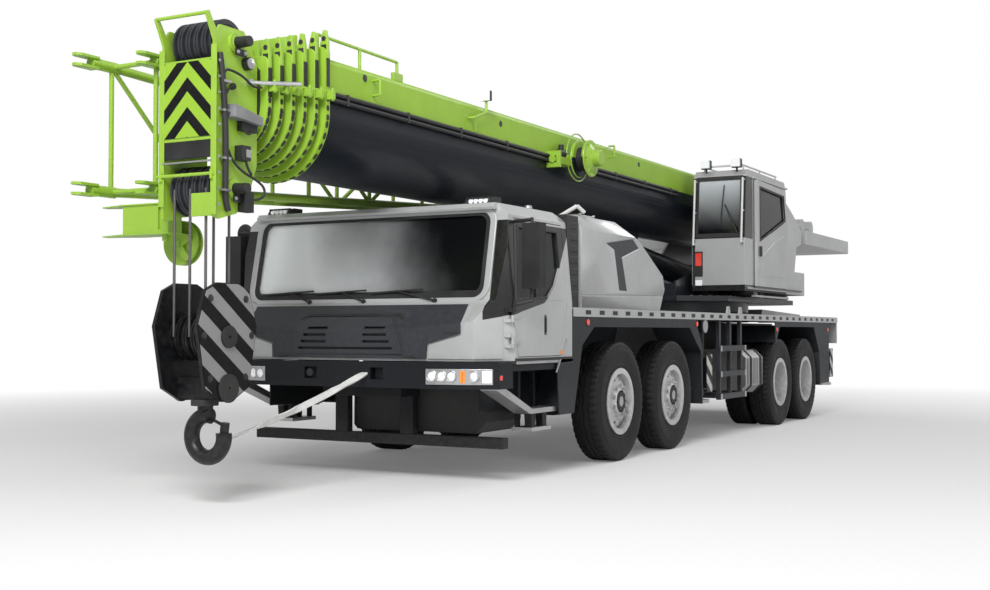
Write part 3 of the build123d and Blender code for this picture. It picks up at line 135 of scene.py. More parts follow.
def ramp(tree, value, low, high, to_low=0.0, to_high=1.0):
    """Value from low to high becomes to_low to to_high, and is held there outside."""
    node = put(tree, "MapRange", Value=value)
    for key, number in (("From Min", low), ("From Max", high), ("To Min", to_low),
                        ("To Max", to_high)):
        join(tree, node.inputs[key], number)
    return node.outputs[0]


def tint(tree, share, first, second):
    """The first colour where share is 0 and the second where it is 1."""
    node = put(tree, "Mix", {"data_type": "RGBA"})
    join(tree, node.inputs[0], share)
    join(tree, node.inputs[6], first)
    join(tree, node.inputs[7], second)
    return node.outputs[2]


def grain(tree, scale, detail=4.0, rough=0.55, stretch=None):
    """A noise over the object's own coordinates, so that it moves with its piece."""
    place = put(tree, "TexCoord").outputs["Object"]
    if stretch:
        place = put(tree, "Mapping", Vector=place, Scale=stretch).outputs[0]
    return put(tree, "TexNoise", Vector=place, Scale=scale, Detail=detail,
               Roughness=rough).outputs["Fac"]


def relief(tree, shader, height, strength, distance):
    """Makes the finish catch the light as if height stood out from it."""
    bump = put(tree, "Bump", Height=height, Strength=strength, Distance=distance)
    join(tree, shader.inputs["Normal"], bump.outputs[0])


def height_of(tree):
    """The surface's own x, y and z before any pose, as three sockets."""
    place = put(tree, "TexCoord").outputs["Object"]
    return put(tree, "SeparateXYZ", Vector=place).outputs

# %% [markdown]
# Crane paint is a two-pack enamel, sprayed thick. Close up it has a faint orange peel, it is a
# little duller where dust has settled, and low parts carry road grime. One function makes that
# enamel in any colour, and takes the colour as a socket where a piece has two of them.
# %% Enamel
DUST = (0.22, 0.205, 0.185, 1)
ROAD_GRIME = (0.055, 0.050, 0.045, 1)


def grimed(tree, shader, colour, dust=0.12, rough=0.34, peel=0.02, peel_scale=260.0):
    """Colour with patches of dust, low grime, uneven gloss and a fine bump."""
    patches = grain(tree, 1.7, 7.0, 0.62)
    fine = grain(tree, 21.0, 5.0)
    shade = ramp(tree, patches, 0.3, 0.7, 0.0, 1.0)
    deeper = put(tree, "HueSaturation", Color=colour, Value=0.86)
    mottled = tint(tree, shade, colour, deeper.outputs[0])
    settled = calc(tree, "MULTIPLY", ramp(tree, fine, 0.45, 0.75), shade)
    dusty = tint(tree, calc(tree, "MULTIPLY", settled, dust), mottled, DUST)
    low = ramp(tree, height_of(tree)[2], 0.9, 0.2, 0.0, 0.45)
    low = calc(tree, "MULTIPLY", low, ramp(tree, fine, 0.35, 0.65, 0.3, 1.0))
    feed(tree, shader, Base_Color=tint(tree, low, dusty, ROAD_GRIME),
         Roughness=ramp(tree, calc(tree, "ADD", patches, fine), 0.7, 1.3, rough, rough + 0.16))
    relief(tree, shader, grain(tree, peel_scale, 2.0), peel, 0.002)


def enamel(name, colour, coat=0.35, metal=0.0, shine=0.5, **looks):
    finish, tree, shader = fresh_finish(name)
    feed(tree, shader, Specular_IOR_Level=shine, Coat_Weight=coat, Coat_Roughness=0.12,
         Metallic=metal)
    grimed(tree, shader, (*colour, 1), **looks)
    return finish


LIME_COLOUR = (0.34, 0.57, 0.050)
CHARCOAL_COLOUR = (0.008, 0.011, 0.017)
SILVER_COLOUR = (0.52, 0.525, 0.53)
lime = enamel("lime_enamel", LIME_COLOUR)
charcoal = enamel("charcoal_enamel", CHARCOAL_COLOUR, coat=0.3, shine=0.35, rough=0.3)
silver = enamel("silver_enamel", SILVER_COLOUR, coat=0.5, metal=0.25, dust=0.08, rough=0.3)
panel_grey = enamel("panel_grey", (0.030, 0.033, 0.040), coat=0.15, shine=0.4, rough=0.42)
frame_grey = enamel("frame_grey", (0.0075, 0.009, 0.012), coat=0.05, shine=0.25, rough=0.45,
                    dust=0.04)
fender_grey = enamel("fender_grey", (0.018, 0.0205, 0.025), coat=0.1, shine=0.3, rough=0.45,
                     dust=0.04)
print("enamels", [m.name for m in bpy.data.materials])

# %% [markdown]
# Rubber, moulded plastic, bare steel and lamps each answer light in their own way. Rubber is
# rough with a grey bloom, plastic has a leather-like grain, drawn steel has lines along it.
# %% Other plain finishes
def rubber_finish():
    finish, tree, shader = fresh_finish("tyre_rubber")
    bloom = ramp(tree, grain(tree, 5.0, 8.0, 0.7), 0.4, 0.7, 0.0, 0.75)
    clean, grey = (0.006, 0.006, 0.007, 1), (0.018, 0.0175, 0.017, 1)
    feed(tree, shader, Base_Color=tint(tree, bloom, clean, grey),
         Roughness=ramp(tree, bloom, 0, 1, 0.55, 0.85), Specular_IOR_Level=0.3)
    relief(tree, shader, grain(tree, 90.0, 6.0), 0.25, 0.004)
    return finish


def moulded(name, colour, rough=0.45, scale=420.0):
    finish, tree, shader = fresh_finish(name)
    cells = put(tree, "TexVoronoi", Vector=put(tree, "TexCoord").outputs["Object"], Scale=scale)
    faded = ramp(tree, grain(tree, 3.0, 5.0), 0.35, 0.7)
    paler = tuple(min(1, c * 1.7 + 0.008) for c in colour)
    feed(tree, shader, Base_Color=tint(tree, faded, (*colour, 1), (*paler, 1)),
         Roughness=ramp(tree, faded, 0, 1, rough, rough + 0.12))
    relief(tree, shader, cells.outputs["Distance"], 0.08, 0.001)
    return finish


def bare_metal(name, colour, rough=0.3, stretch=(40, 1, 1), metal=0.9):
    finish, tree, shader = fresh_finish(name)
    feed(tree, shader, Metallic=metal)
    lines = grain(tree, 9.0, 8.0, 0.7, stretch)
    stain = ramp(tree, grain(tree, 2.6, 6.0), 0.45, 0.8, 0.0, 0.5)
    darker = tuple(c * 0.55 for c in colour)
    feed(tree, shader, Base_Color=tint(tree, stain, (*colour, 1), (*darker, 1)),
         Roughness=ramp(tree, lines, 0.3, 0.7, rough - 0.08, rough + 0.14))
    relief(tree, shader, lines, 0.06, 0.001)
    return finish


def lamp(name, colour, glow=0.0):
    """A moulded lens: ribs inside, a smooth coat outside."""
    finish, tree, shader = fresh_finish(name)
    ribs = put(tree, "TexWave", Vector=put(tree, "TexCoord").outputs["Object"], Scale=60.0,
               Distortion=0.6)
    pale = tuple(min(1, c * 1.5 + 0.05) for c in colour)
    feed(tree, shader, Base_Color=tint(tree, ribs.outputs["Fac"], (*colour, 1), (*pale, 1)),
         Roughness=0.08, Coat_Weight=1.0, Emission_Color=(*colour, 1), Emission_Strength=glow)
    relief(tree, shader, ribs.outputs["Fac"], 0.3, 0.003)
    return finish


rubber = rubber_finish()
black_plastic = moulded("black_plastic", (0.010, 0.010, 0.011))
grey_plastic = moulded("grey_plastic", (0.16, 0.165, 0.17))
hose_rubber = moulded("hose_rubber", (0.012, 0.012, 0.013), 0.55, 150.0)
rim_paint = enamel("rim_silver", (0.68, 0.68, 0.68), coat=0.1, metal=0.25, rough=0.38, dust=0.2)
steel = bare_metal("drawn_steel", (0.56, 0.56, 0.57))
rope_wire = bare_metal("rope_wire", (0.16, 0.155, 0.15), 0.42, (1, 1, 90), 0.7)
tank_metal = bare_metal("tank_aluminium", (0.60, 0.60, 0.59), 0.34, (1, 1, 30), 0.8)
cast_iron = moulded("cast_iron", (0.016, 0.0155, 0.015), 0.6, 90.0)
white_gloss = enamel("handrail_white", (0.78, 0.78, 0.76), coat=0.4, dust=0.05)
seat_cloth = moulded("seat_cloth", (0.030, 0.031, 0.034), 0.8, 700.0)
clear_lamp = lamp("clear_lamp", (0.80, 0.82, 0.84), 0.25)
red_lamp = lamp("red_lamp", (0.62, 0.025, 0.012), 0.1)
amber_lamp = lamp("amber_lamp", (0.75, 0.20, 0.015), 0.1)
print(len(bpy.data.materials), "finishes so far")

# %% [markdown]
# Stripes are paint as well, but they follow a rule: a point's place decides its colour. Written
# as arithmetic on the object's own coordinates, the edges stay sharp at any distance, and the
# stripes travel with the plate when it moves. The boom's two colours and the cabs' black areas
# follow such rules too, and so does the painted reflection on the glass.
# %% Two-colour enamels
AXLE_1 = 2.530    # the first axle, measured from the middle of the crane
BLACK_PAINT = (0.004, 0.004, 0.005, 1)
STRIPE_GREY = (0.27, 0.27, 0.275, 1)
END_GREY = (0.62, 0.62, 0.6, 1)


def striped(name, pattern, first, second, **looks):
    """Enamel that is the first colour where pattern(tree) is 0 and the second where it is 1."""
    finish, tree, shader = fresh_finish(name)
    feed(tree, shader, Coat_Weight=0.05, Specular_IOR_Level=0.2)
    grimed(tree, shader, tint(tree, pattern(tree), first, second), dust=0.05, **looks)
    return finish


def bands(tree, value, pitch, share):
    """1 on a share of each pitch along value, else 0."""
    return calc(tree, "LESS_THAN", calc(tree, "WRAP", value, 0.0, pitch), pitch * share)


def chevrons(tree):
    """Vees that repeat every 0.225 up the head, with their point on its middle line."""
    x, y, z = height_of(tree)
    rise = calc(tree, "ADD", z, calc(tree, "MULTIPLY", calc(tree, "ABSOLUTE", y), 1.02))
    return bands(tree, calc(tree, "SUBTRACT", rise, 2.92), 0.225, 0.48)


def slanted(direction, pitch, share=0.5):
    """A pattern of straight bands, one each pitch along direction."""
    def pattern(tree):
        x, y, z = height_of(tree)
        across = calc(tree, "ADD", calc(tree, "MULTIPLY", x, direction[0]), calc(tree, "MULTIPLY",
            y, direction[1]))
        return bands(tree, calc(tree, "ADD", across, calc(tree, "MULTIPLY", z, direction[2])),
                     pitch, share)
    return pattern


def belly_line(tree):
    """1 above the line where the boom's charcoal side meets its lime top, and on the collar."""
    x, y, z = height_of(tree)
    line = calc(tree, "ADD", calc(tree, "MULTIPLY", x, 0.0045), 3.262)
    collar = calc(tree, "GREATER_THAN", x, 6.308)
    return calc(tree, "MAXIMUM", calc(tree, "GREATER_THAN", z, line), collar)


LIME_SOCKET, CHARCOAL_SOCKET = (*LIME_COLOUR, 1), (*CHARCOAL_COLOUR, 1)
boom_paint = striped("boom_enamel", belly_line, CHARCOAL_SOCKET, LIME_SOCKET, rough=0.3)
chevron_paint = striped("chevron_enamel", chevrons, LIME_SOCKET, BLACK_PAINT)
hook_stripes = striped("hook_stripes", slanted((-0.75, 0, 1), 0.265), BLACK_PAINT, STRIPE_GREY)
end_stripes = striped("end_stripes", slanted((-0.8, 0.4, 1), 0.22), BLACK_PAINT, END_GREY)


def window_black(tree):
    """1 inside the black area that runs round the cab's front corner and its side window."""
    x, y, z = height_of(tree)
    x = calc(tree, "SUBTRACT", x, AXLE_1)
    inside = calc(tree, "GREATER_THAN", calc(tree, "ABSOLUTE", y), 1.326)
    inside = calc(tree, "MULTIPLY", inside, calc(tree, "LESS_THAN", z, 2.305))
    for slope, height in ((-0.189, 1.933), (-0.70, 2.865), (-1.358, 3.903)):
        line = calc(tree, "ADD", calc(tree, "MULTIPLY", x, slope), height)
        inside = calc(tree, "MULTIPLY", inside, calc(tree, "GREATER_THAN", z, line))
    return inside


def pillar_black(tree):
    """1 on the operator's cab front pillar and on the sill under its front panel."""
    x, y, z = height_of(tree)
    pillar = calc(tree, "MULTIPLY", calc(tree, "GREATER_THAN", x, AXLE_1 - 4.70), calc(tree,
        "GREATER_THAN", z, 2.59))
    pillar = calc(tree, "MULTIPLY", pillar, calc(tree, "LESS_THAN", z, 3.43))
    sill = calc(tree, "LESS_THAN", z, 1.96)
    return calc(tree, "MAXIMUM", pillar, sill)


def silver_and_black(name, pattern):
    """The silver enamel, black wherever pattern(tree) is 1."""
    finish, tree, shader = fresh_finish(name)
    feed(tree, shader, Coat_Weight=0.5, Coat_Roughness=0.12, Metallic=0.2)
    grimed(tree, shader, tint(tree, pattern(tree), (*SILVER_COLOUR, 1), BLACK_PAINT), dust=0.08,
           rough=0.3)
    return finish


cab_paint = silver_and_black("cab_enamel", window_black)
operator_paint = silver_and_black("operator_enamel", pillar_black)
hook_black = enamel("hook_black", (0.006, 0.0065, 0.008), coat=0.1, shine=0.3, rough=0.32)


def chequer_plate():
    """Deck plate: short raised bars that lie by turns across and along."""
    finish, tree, shader = fresh_finish("chequer_plate")
    place = put(tree, "TexCoord").outputs["Object"]
    turned = put(tree, "Mapping", Vector=place, Rotation=(0, 0, radians(45)), Scale=(34, 34, 0))
    cells = put(tree, "TexVoronoi", {"distance": "CHEBYCHEV"}, Vector=turned.outputs[0], Scale=1.0)
    cells.inputs["Randomness"].default_value = 0.0
    bar = ramp(tree, cells.outputs["Distance"], 0.18, 0.34, 1.0, 0.0)
    grimed(tree, shader, (0.30, 0.295, 0.29, 1), rough=0.4, dust=0.4)
    relief(tree, shader, bar, 0.5, 0.004)
    return finish


def tinted_glass(name, dark, pale, painted_reflection_share, solid=1.0, smear=0.02, shine=0.5):
    """Toughened dark-tinted glass, which a painted reflection lifts towards a paler colour."""
    finish, tree, shader = fresh_finish(name)
    feed(tree, shader, Base_Color=tint(tree, painted_reflection_share(tree), dark, pale))
    film = ramp(tree, grain(tree, 2.0, 6.0), 0.4, 0.8, smear, smear + 0.05)
    feed(tree, shader, Roughness=film, Specular_IOR_Level=shine, Coat_Weight=0.1,
         Coat_Roughness=0.05, Alpha=solid)
    return finish


def painted_screen_reflection(tree):
    """Painted reflection: pale on the crane's right side of the screen, fading slowly to dark."""
    x, y, z = height_of(tree)
    lean = calc(tree, "ADD", y, calc(tree, "MULTIPLY", calc(tree, "SUBTRACT", z, 2.0), 0.4))
    cloud = ramp(tree, grain(tree, 1.6, 3.0), 0.3, 0.7, -0.10, 0.10)
    share = ramp(tree, calc(tree, "ADD", lean, cloud), 0.80, -0.70, 0.0, 1.0)
    return calc(tree, "POWER", share, 1.7)


def painted_reflection_upwards(tree):
    """Painted reflection: a pane grows paler towards its top."""
    x, y, z = height_of(tree)
    return calc(tree, "POWER", ramp(tree, z, 2.68, 3.42, 0.0, 1.0), 1.6)


# The windscreen's pale side is a painted reflection.
screen_glass = tinted_glass("screen_glass", (0.003, 0.0032, 0.004, 1), (0.95, 0.97, 1.0, 1),
                            painted_screen_reflection, smear=0.22, shine=0.25)
# The side and operator's panes grow paler upwards: a painted reflection.
cab_glass = tinted_glass("side_glass", (0.010, 0.011, 0.013, 1), (0.05, 0.053, 0.058, 1), painted_reflection_upwards,
                         0.72)
operator_glass = tinted_glass("operator_glass", (0.003, 0.0032, 0.004, 1),
                              (0.66, 0.70, 0.74, 1), painted_reflection_upwards, smear=0.12, shine=0.35)
deck_plate = chequer_plate()
print(len(bpy.data.materials), "finishes in all")

# %% [markdown]
# The studio is a white room: a floor, and a sky that is plain white wherever a lens, a mirror or
# glass looks at it, yet lights the crane gently. The floor turns from real paint, which takes
# the shadow, to plain white far out, so no horizon shows.
# %% Floor, sky and lamps
def studio_floor():
    """White paint that takes the shadow, and turns to plain white far out."""
    finish, tree, shader = fresh_finish("studio_floor")
    speckle = ramp(tree, grain(tree, 30.0), 0.3, 0.7, 0.84, 0.88)
    paint = put(tree, "CombineColor", Red=speckle, Green=speckle, Blue=speckle)
    feed(tree, shader, Base_Color=paint.outputs[0], Roughness=0.9, Specular_IOR_Level=0.1)
    x, y, z = height_of(tree)
    away = calc(tree, "SQRT", calc(tree, "ADD", calc(tree, "MULTIPLY", x, x), calc(tree,
        "MULTIPLY", y, y)))
    white = put(tree, "Emission", Color=(1, 1, 1, 1), Strength=1.0)
    seen = put(tree, "LightPath").outputs["Is Camera Ray"]
    share = calc(tree, "MULTIPLY", ramp(tree, away, 6.0, 17.0, 0.12, 1.0), seen)
    mixed = put(tree, "MixShader", Fac=share)
    tree.links.new(shader.outputs[0], mixed.inputs[1])
    tree.links.new(white.outputs[0], mixed.inputs[2])
    output = next(node for node in tree.nodes if node.type == "OUTPUT_MATERIAL")
    tree.links.new(mixed.outputs[0], output.inputs[0])
    return finish


FLOOR_HALF = 150.0
floor_mesh = bpy.data.meshes.new("floor")
floor_mesh.from_pydata([(-FLOOR_HALF, -FLOOR_HALF, 0), (FLOOR_HALF, -FLOOR_HALF, 0),
                        (FLOOR_HALF, FLOOR_HALF, 0), (-FLOOR_HALF, FLOOR_HALF, 0)], [],
                       [(0, 1, 2, 3)])
floor_mesh.materials.append(studio_floor())
floor = bpy.data.objects.new("floor", floor_mesh)
scene.collection.objects.link(floor)

sky = bpy.data.worlds.new("studio_sky")
sky.use_nodes = True
scene.world = sky
tree = sky.node_tree
tree.nodes.clear()
path = put(tree, "LightPath").outputs
seen = calc(tree, "MAXIMUM", path["Is Camera Ray"], calc(tree, "MULTIPLY", path["Is Glossy Ray"],
    0.35))
sky_light = put(tree, "Background", Color=(1, 1, 1, 1), Strength=ramp(tree, seen, 0, 1, 0.30, 1.0))
sky_output = tree.nodes.new("ShaderNodeOutputWorld")
tree.links.new(sky_light.outputs[0], sky_output.inputs[0])

STUDIO_LAMPS = [("key", (17, 5, 12), (1, 0, 1.5), 7.0, 2400.0),
                ("fill", (10, 16, 7), (0, 0, 1.5), 9.0, 420.0),
                ("rim", (-13, 7, 12), (-2, 0, 2.0), 7.0, 700.0)]
for name, place, aim, size, power in STUDIO_LAMPS:
    panel = bpy.data.lights.new(name, "AREA")
    panel.size = size
    panel.energy = power
    stand = bpy.data.objects.new(name, panel)
    stand.location = place
    stand.rotation_euler = (Vector(aim) - Vector(place)).to_track_quat("-Z", "Y").to_euler()
    scene.collection.objects.link(stand)
print("studio ready")

# %% [markdown]
# New metal is cut, turned and gathered in a Workpiece: one mesh that holds plates, bars, turned
# rings and bolts until it is named, finished and hung on its body. Distances along the crane are
# taken from the first axle, as its makers do, and shifted once at the end.
# %% The workpiece
AXLES = {"1": 0.0, "2": -1.5, "3": -5.77, "4": -7.12}
TYRE_RADIUS, TRACK, TWIN_GAP = 0.613, 1.313, 0.35
DECK_TOP = 1.560
BOOM_HALF, BOOM_LOW, BOOM_TOP, BOOM_FRONT = 0.475, 2.62, 3.57, 3.84
NEST_SIDE, NEST_TOP, COLLAR_PITCH = 0.038, 0.030, 0.1
UPPER_SHEAVE, LOWER_SHEAVE = (4.625, 3.53), (4.640, 2.41)
HOOK_X, HOOK_TOP = 4.640, 1.700
REEL_X, REEL_Z = -0.83, 3.27
SLEW_X, WINCHES = -5.2, (-9.23, -9.77)


class Workpiece:
    """Metal gathered in one mesh before it is named, finished and hung on its body."""

    def __init__(self):
        self.mesh = bmesh.new()

    def stack(self, rings, closed=False):
        """Skins a list of equal rings of points, with caps unless the stack is closed."""
        rows = [[self.mesh.verts.new(point) for point in ring] for ring in rings]
        count = len(rows[0])
        pairs = list(zip(rows, rows[1:] + (rows[:1] if closed else [])))
        for low, high in pairs:
            for i in range(count):
                j = (i + 1) % count
                self.mesh.faces.new((low[i], low[j], high[j], high[i]))
        if not closed:
            self.mesh.faces.new(rows[0][::-1])
            self.mesh.faces.new(rows[-1])
        return self

    def block(self, x, y, z):
        """A box between two values on each axis."""
        ring = [(x[0], y[0]), (x[1], y[0]), (x[1], y[1]), (x[0], y[1])]
        return self.stack([[(a, b, c) for a, b in ring] for c in z])

    def side_plate(self, outline, y):
        """A plate with its outline in (x, z) points."""
        return self.stack([[(a, b, c) for a, c in outline] for b in y])

    def plan_plate(self, outline, z):
        """A plate with its outline in (x, y) points."""
        return self.stack([[(a, b, c) for a, b in outline] for c in z])

    def front_plate(self, outline, x):
        """A plate with its outline in (y, z) points."""
        return self.stack([[(a, b, c) for b, c in outline] for a in x])

    def turned(self, profile, centre, axis="y", steps=48):
        """Revolves (radius, along) points about an axis through centre; a closed ring."""
        rings = []
        for step in range(steps):
            turn = 2 * pi * step / steps
            rings.append([around(centre, axis, radius, turn, along) for radius, along in profile])
        return self.stack(rings, closed=True)

    def bar(self, start, end, radius, steps=14, end_radius=None):
        """A round bar, or a cone where end_radius is given."""
        start, end = Vector(start), Vector(end)
        lean = (end - start).to_track_quat("Z", "Y").to_matrix().to_4x4()
        place = Matrix.Translation((start + end) / 2) @ lean
        bmesh.ops.create_cone(self.mesh, cap_ends=True, segments=steps, radius1=radius,
                              radius2=radius if end_radius is None else end_radius,
                              depth=(end - start).length, matrix=place)
        return self

    def rail(self, points, radius, steps=10):
        """Bars that run from each point to the next."""
        for start, end in zip(points, points[1:]):
            self.bar(start, end, radius, steps)
        return self

    def bolts(self, places, direction, radius=0.016, height=0.012):
        """Hexagon heads with a washer under each."""
        way = Vector(direction).normalized()
        for place in places:
            foot = Vector(place)
            self.bar(foot, foot + way * height * 0.25, radius * 1.3, 16)
            self.bar(foot, foot + way * height, radius, 6)
        return self

    def hang(self, name, body, finish, slot, bevel=0.003, rounds=2, stand_in=()):
        """Names the piece, gives it its finish, softens its edges and hangs it on its body."""
        bmesh.ops.recalc_face_normals(self.mesh, faces=self.mesh.faces)
        bmesh.ops.translate(self.mesh, verts=self.mesh.verts, vec=(AXLE_1, 0, 0))
        mesh = bpy.data.meshes.new(name)
        self.mesh.to_mesh(mesh)
        self.mesh.free()
        return dressed(bpy.data.objects.new(name, mesh), body, finish, bevel, rounds,
                       stand_in)


def workpieces(count):
    return [Workpiece() for _ in range(count)]


def across(side, near, far):
    """The low and the high y of what lies between near and far on one side of the crane."""
    return sorted((side * near, side * far))


def around(centre, axis, radius, turn, along):
    """A point on a circle about an axis through centre."""
    x, y, z = centre
    a, b = radius * cos(turn), radius * sin(turn)
    if axis == "y":
        return (x + a, y + along, z + b)
    if axis == "x":
        return (x + along, y + a, z + b)
    return (x + a, y + b, z + along)


def dressed(piece, body, finish, bevel=0.0, rounds=2, stand_in=()):
    """Smooths, softens, paints and hangs a mesh object."""
    mesh = piece.data
    mesh.materials.clear()
    mesh.materials.append(finish)
    mesh.shade_smooth()
    mesh.set_sharp_from_angle(angle=radians(32))
    scene.collection.objects.link(piece)
    if bevel:
        edge = piece.modifiers.new("softened_edges", "BEVEL")
        edge.width = bevel
        edge.segments = rounds
        edge.limit_method = "ANGLE"
        edge.angle_limit = radians(32)
        edge.harden_normals = True
    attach(piece, body)
    if stand_in:
        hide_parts(*stand_in)
    return piece


def pipe(name, routes, radius, body, finish, closed=False):
    """Bent tube or hose along smooth lines, one for each route of points."""
    line = bpy.data.curves.new(name, "CURVE")
    line.dimensions = "3D"
    line.bevel_depth = radius
    line.bevel_resolution = 3
    line.use_fill_caps = True
    for route in routes:
        spline = line.splines.new("NURBS")
        spline.points.add(len(route) - 1)
        for point, (x, y, z) in zip(spline.points, route):
            point.co = (x + AXLE_1, y, z, 1)
        spline.use_cyclic_u = closed
        spline.use_endpoint_u = not closed
        spline.order_u = 3
        spline.resolution_u = 5
    line.materials.append(finish)
    piece = bpy.data.objects.new(name, line)
    scene.collection.objects.link(piece)
    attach(piece, body)
    return piece


print("workshop ready")

# %% [markdown]
# Sheet metal never has a perfectly sharp edge: it is folded or ground, and the small round
# catches a line of light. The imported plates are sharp, so each is copied, its flat faces are
# joined again, and a bevel rounds its edges. The copy then stands in for the plain node.
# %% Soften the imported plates
WELD = 0.00002    # corners nearer to each other than this are joined to one


def softened(node, finish, width=0.005, rounds=2):
    """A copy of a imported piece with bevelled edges, which stands in for it."""
    shell = bmesh.new()
    shell.from_mesh(NODES[node].data)
    bmesh.ops.remove_doubles(shell, verts=shell.verts, dist=WELD)
    if node != "engine_hood":
        bmesh.ops.dissolve_limit(shell, angle_limit=radians(1.0), verts=shell.verts,
                                 edges=shell.edges)
    mesh = bpy.data.meshes.new(node + ".skin")
    shell.to_mesh(mesh)
    shell.free()
    piece = bpy.data.objects.new(node + ".skin", mesh)
    dressed(piece, BODY_OF[node], finish, width, rounds, (node,))
    piece.modifiers[0].use_clamp_overlap = True
    return piece


def painted(node, finish):
    """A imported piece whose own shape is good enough: it only gets its finish."""
    mesh = NODES[node].data
    mesh.materials.clear()
    mesh.materials.append(finish)


SKINS = {
    "chassis_frame": (frame_grey, 0.006), "fenders": (fender_grey, 0.004),
    "outrigger_boxes": (frame_grey, 0.006), "cab_shell": (cab_paint, 0.012),
    "cab_front": (panel_grey, 0.004), "bumper": (frame_grey, 0.010),
    "engine_hood": (silver, 0.014), "intake_column": (black_plastic, 0.010),
    "fuel_tank": (tank_metal, 0.012), "side_racks": (panel_grey, 0.004),
    "cab_steps": (frame_grey, 0.003), "turntable": (charcoal, 0.008),
    "tail_frame": (silver, 0.010), "winches": (silver, 0.006),
    "operator_cab": (operator_paint, 0.010), "operator_covers": (silver, 0.014),
    "boom_base": (boom_paint, 0.006), "deck": (silver, 0.003),
}
for node, (finish, width) in SKINS.items():
    softened(node, finish, width)
for number in range(2, 8):
    softened(f"boom_section_{number}", lime, 0.004)
for node in NODES:
    if node.startswith(("outrigger_beam", "outrigger_jack")):
        softened(node, frame_grey if "beam" in node else steel, 0.004)
    elif node.startswith("knuckle"):
        painted(node, cast_iron)
for node, finish in {"cab_glass": screen_glass, "headlamps": clear_lamp,
                     "cab_interior": seat_cloth, "engine_block": cast_iron, "axles": cast_iron,
                     "hook_sling": white_gloss, "operator_glass": operator_glass,
                     "lift_barrel": charcoal, "lift_rod": steel, "head_sheaves": panel_grey,
                     "hoist_ropes": rope_wire, "hook_block": hook_black,
                     "lattice_jib": lime}.items():
    painted(node, finish)

# %% [markdown]
# A truck tyre is a turned shape with a pattern pressed into it. The profile is drawn once across
# the tread, then stepped round the wheel. On every third step the shoulder is pushed in, which
# gives the notches, and the middle ribs sway a little from step to step.
# %% Wheels
TYRE = [(0.318, 0.118), (0.345, 0.133), (0.372, 0.150), (0.384, 0.1508), (0.392, 0.147),
        (0.45, 0.1562), (0.51, 0.1555), (0.53, 0.1562), (0.538, 0.152), (0.566, 0.149),
        (0.592, 0.145), (0.606, 0.136), (0.613, 0.122), (0.613, 0.064), (0.600, 0.059),
        (0.600, 0.050), (0.613, 0.045), (0.613, 0.009), (0.600, 0.004)]
TYRE_STEPS = 150
RIM_TOP = 1.1     # every island of a wheel that stays below this belongs to its rim


def treaded(work, centre):
    """One tyre: the profile on each side of the tread, stepped round."""
    outline = TYRE + [(radius, -along) for radius, along in reversed(TYRE)]
    rings = []
    for step in range(TYRE_STEPS):
        notch, sway = step % 3 == 2, 0.004 if step % 6 < 3 else -0.004
        ring = []
        for radius, along in outline:
            if notch and radius > 0.57 and abs(along) > 0.062:
                radius -= 0.013
            if radius > 0.59 and abs(along) < 0.062:
                along += sway
            ring.append(around(centre, "y", radius, 2 * pi * step / TYRE_STEPS, along))
        rings.append(ring)
    work.stack(rings, closed=True)


def islands(shell):
    """The groups of joined vertices of a mesh."""
    seen, groups = set(), []
    for first in shell.verts:
        if first in seen:
            continue
        island, queue = [], [first]
        seen.add(first)
        while queue:
            corner = queue.pop()
            island.append(corner)
            for edge in corner.link_edges:
                other = edge.other_vert(corner)
                if other not in seen:
                    seen.add(other)
                    queue.append(other)
        groups.append(island)
    return groups


def portion(node, name, finish, keep_face=None, keep_island=None, width=0.004):
    """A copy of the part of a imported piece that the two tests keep, as a piece of its own."""
    shell = bmesh.new()
    shell.from_mesh(NODES[node].data)
    bmesh.ops.translate(shell, verts=shell.verts, vec=(-AXLE_1, 0, 0))
    bmesh.ops.remove_doubles(shell, verts=shell.verts, dist=WELD)
    if keep_island:
        lost = [corner for island in islands(shell) if not keep_island(island)
                for corner in island]
        bmesh.ops.delete(shell, geom=lost, context="VERTS")
    if keep_face:
        lost = [face for face in shell.faces if not keep_face(face.calc_center_median())]
        bmesh.ops.delete(shell, geom=lost, context="FACES")
    bmesh.ops.dissolve_limit(shell, angle_limit=radians(1.0), verts=shell.verts, edges=shell.edges)
    bmesh.ops.translate(shell, verts=shell.verts, vec=(AXLE_1, 0, 0))
    mesh = bpy.data.meshes.new(name)
    shell.to_mesh(mesh)
    shell.free()
    piece = dressed(bpy.data.objects.new(name, mesh), BODY_OF[node], finish, width,
                    stand_in=(node,))
    if width:
        piece.modifiers[0].use_clamp_overlap = True
    return piece


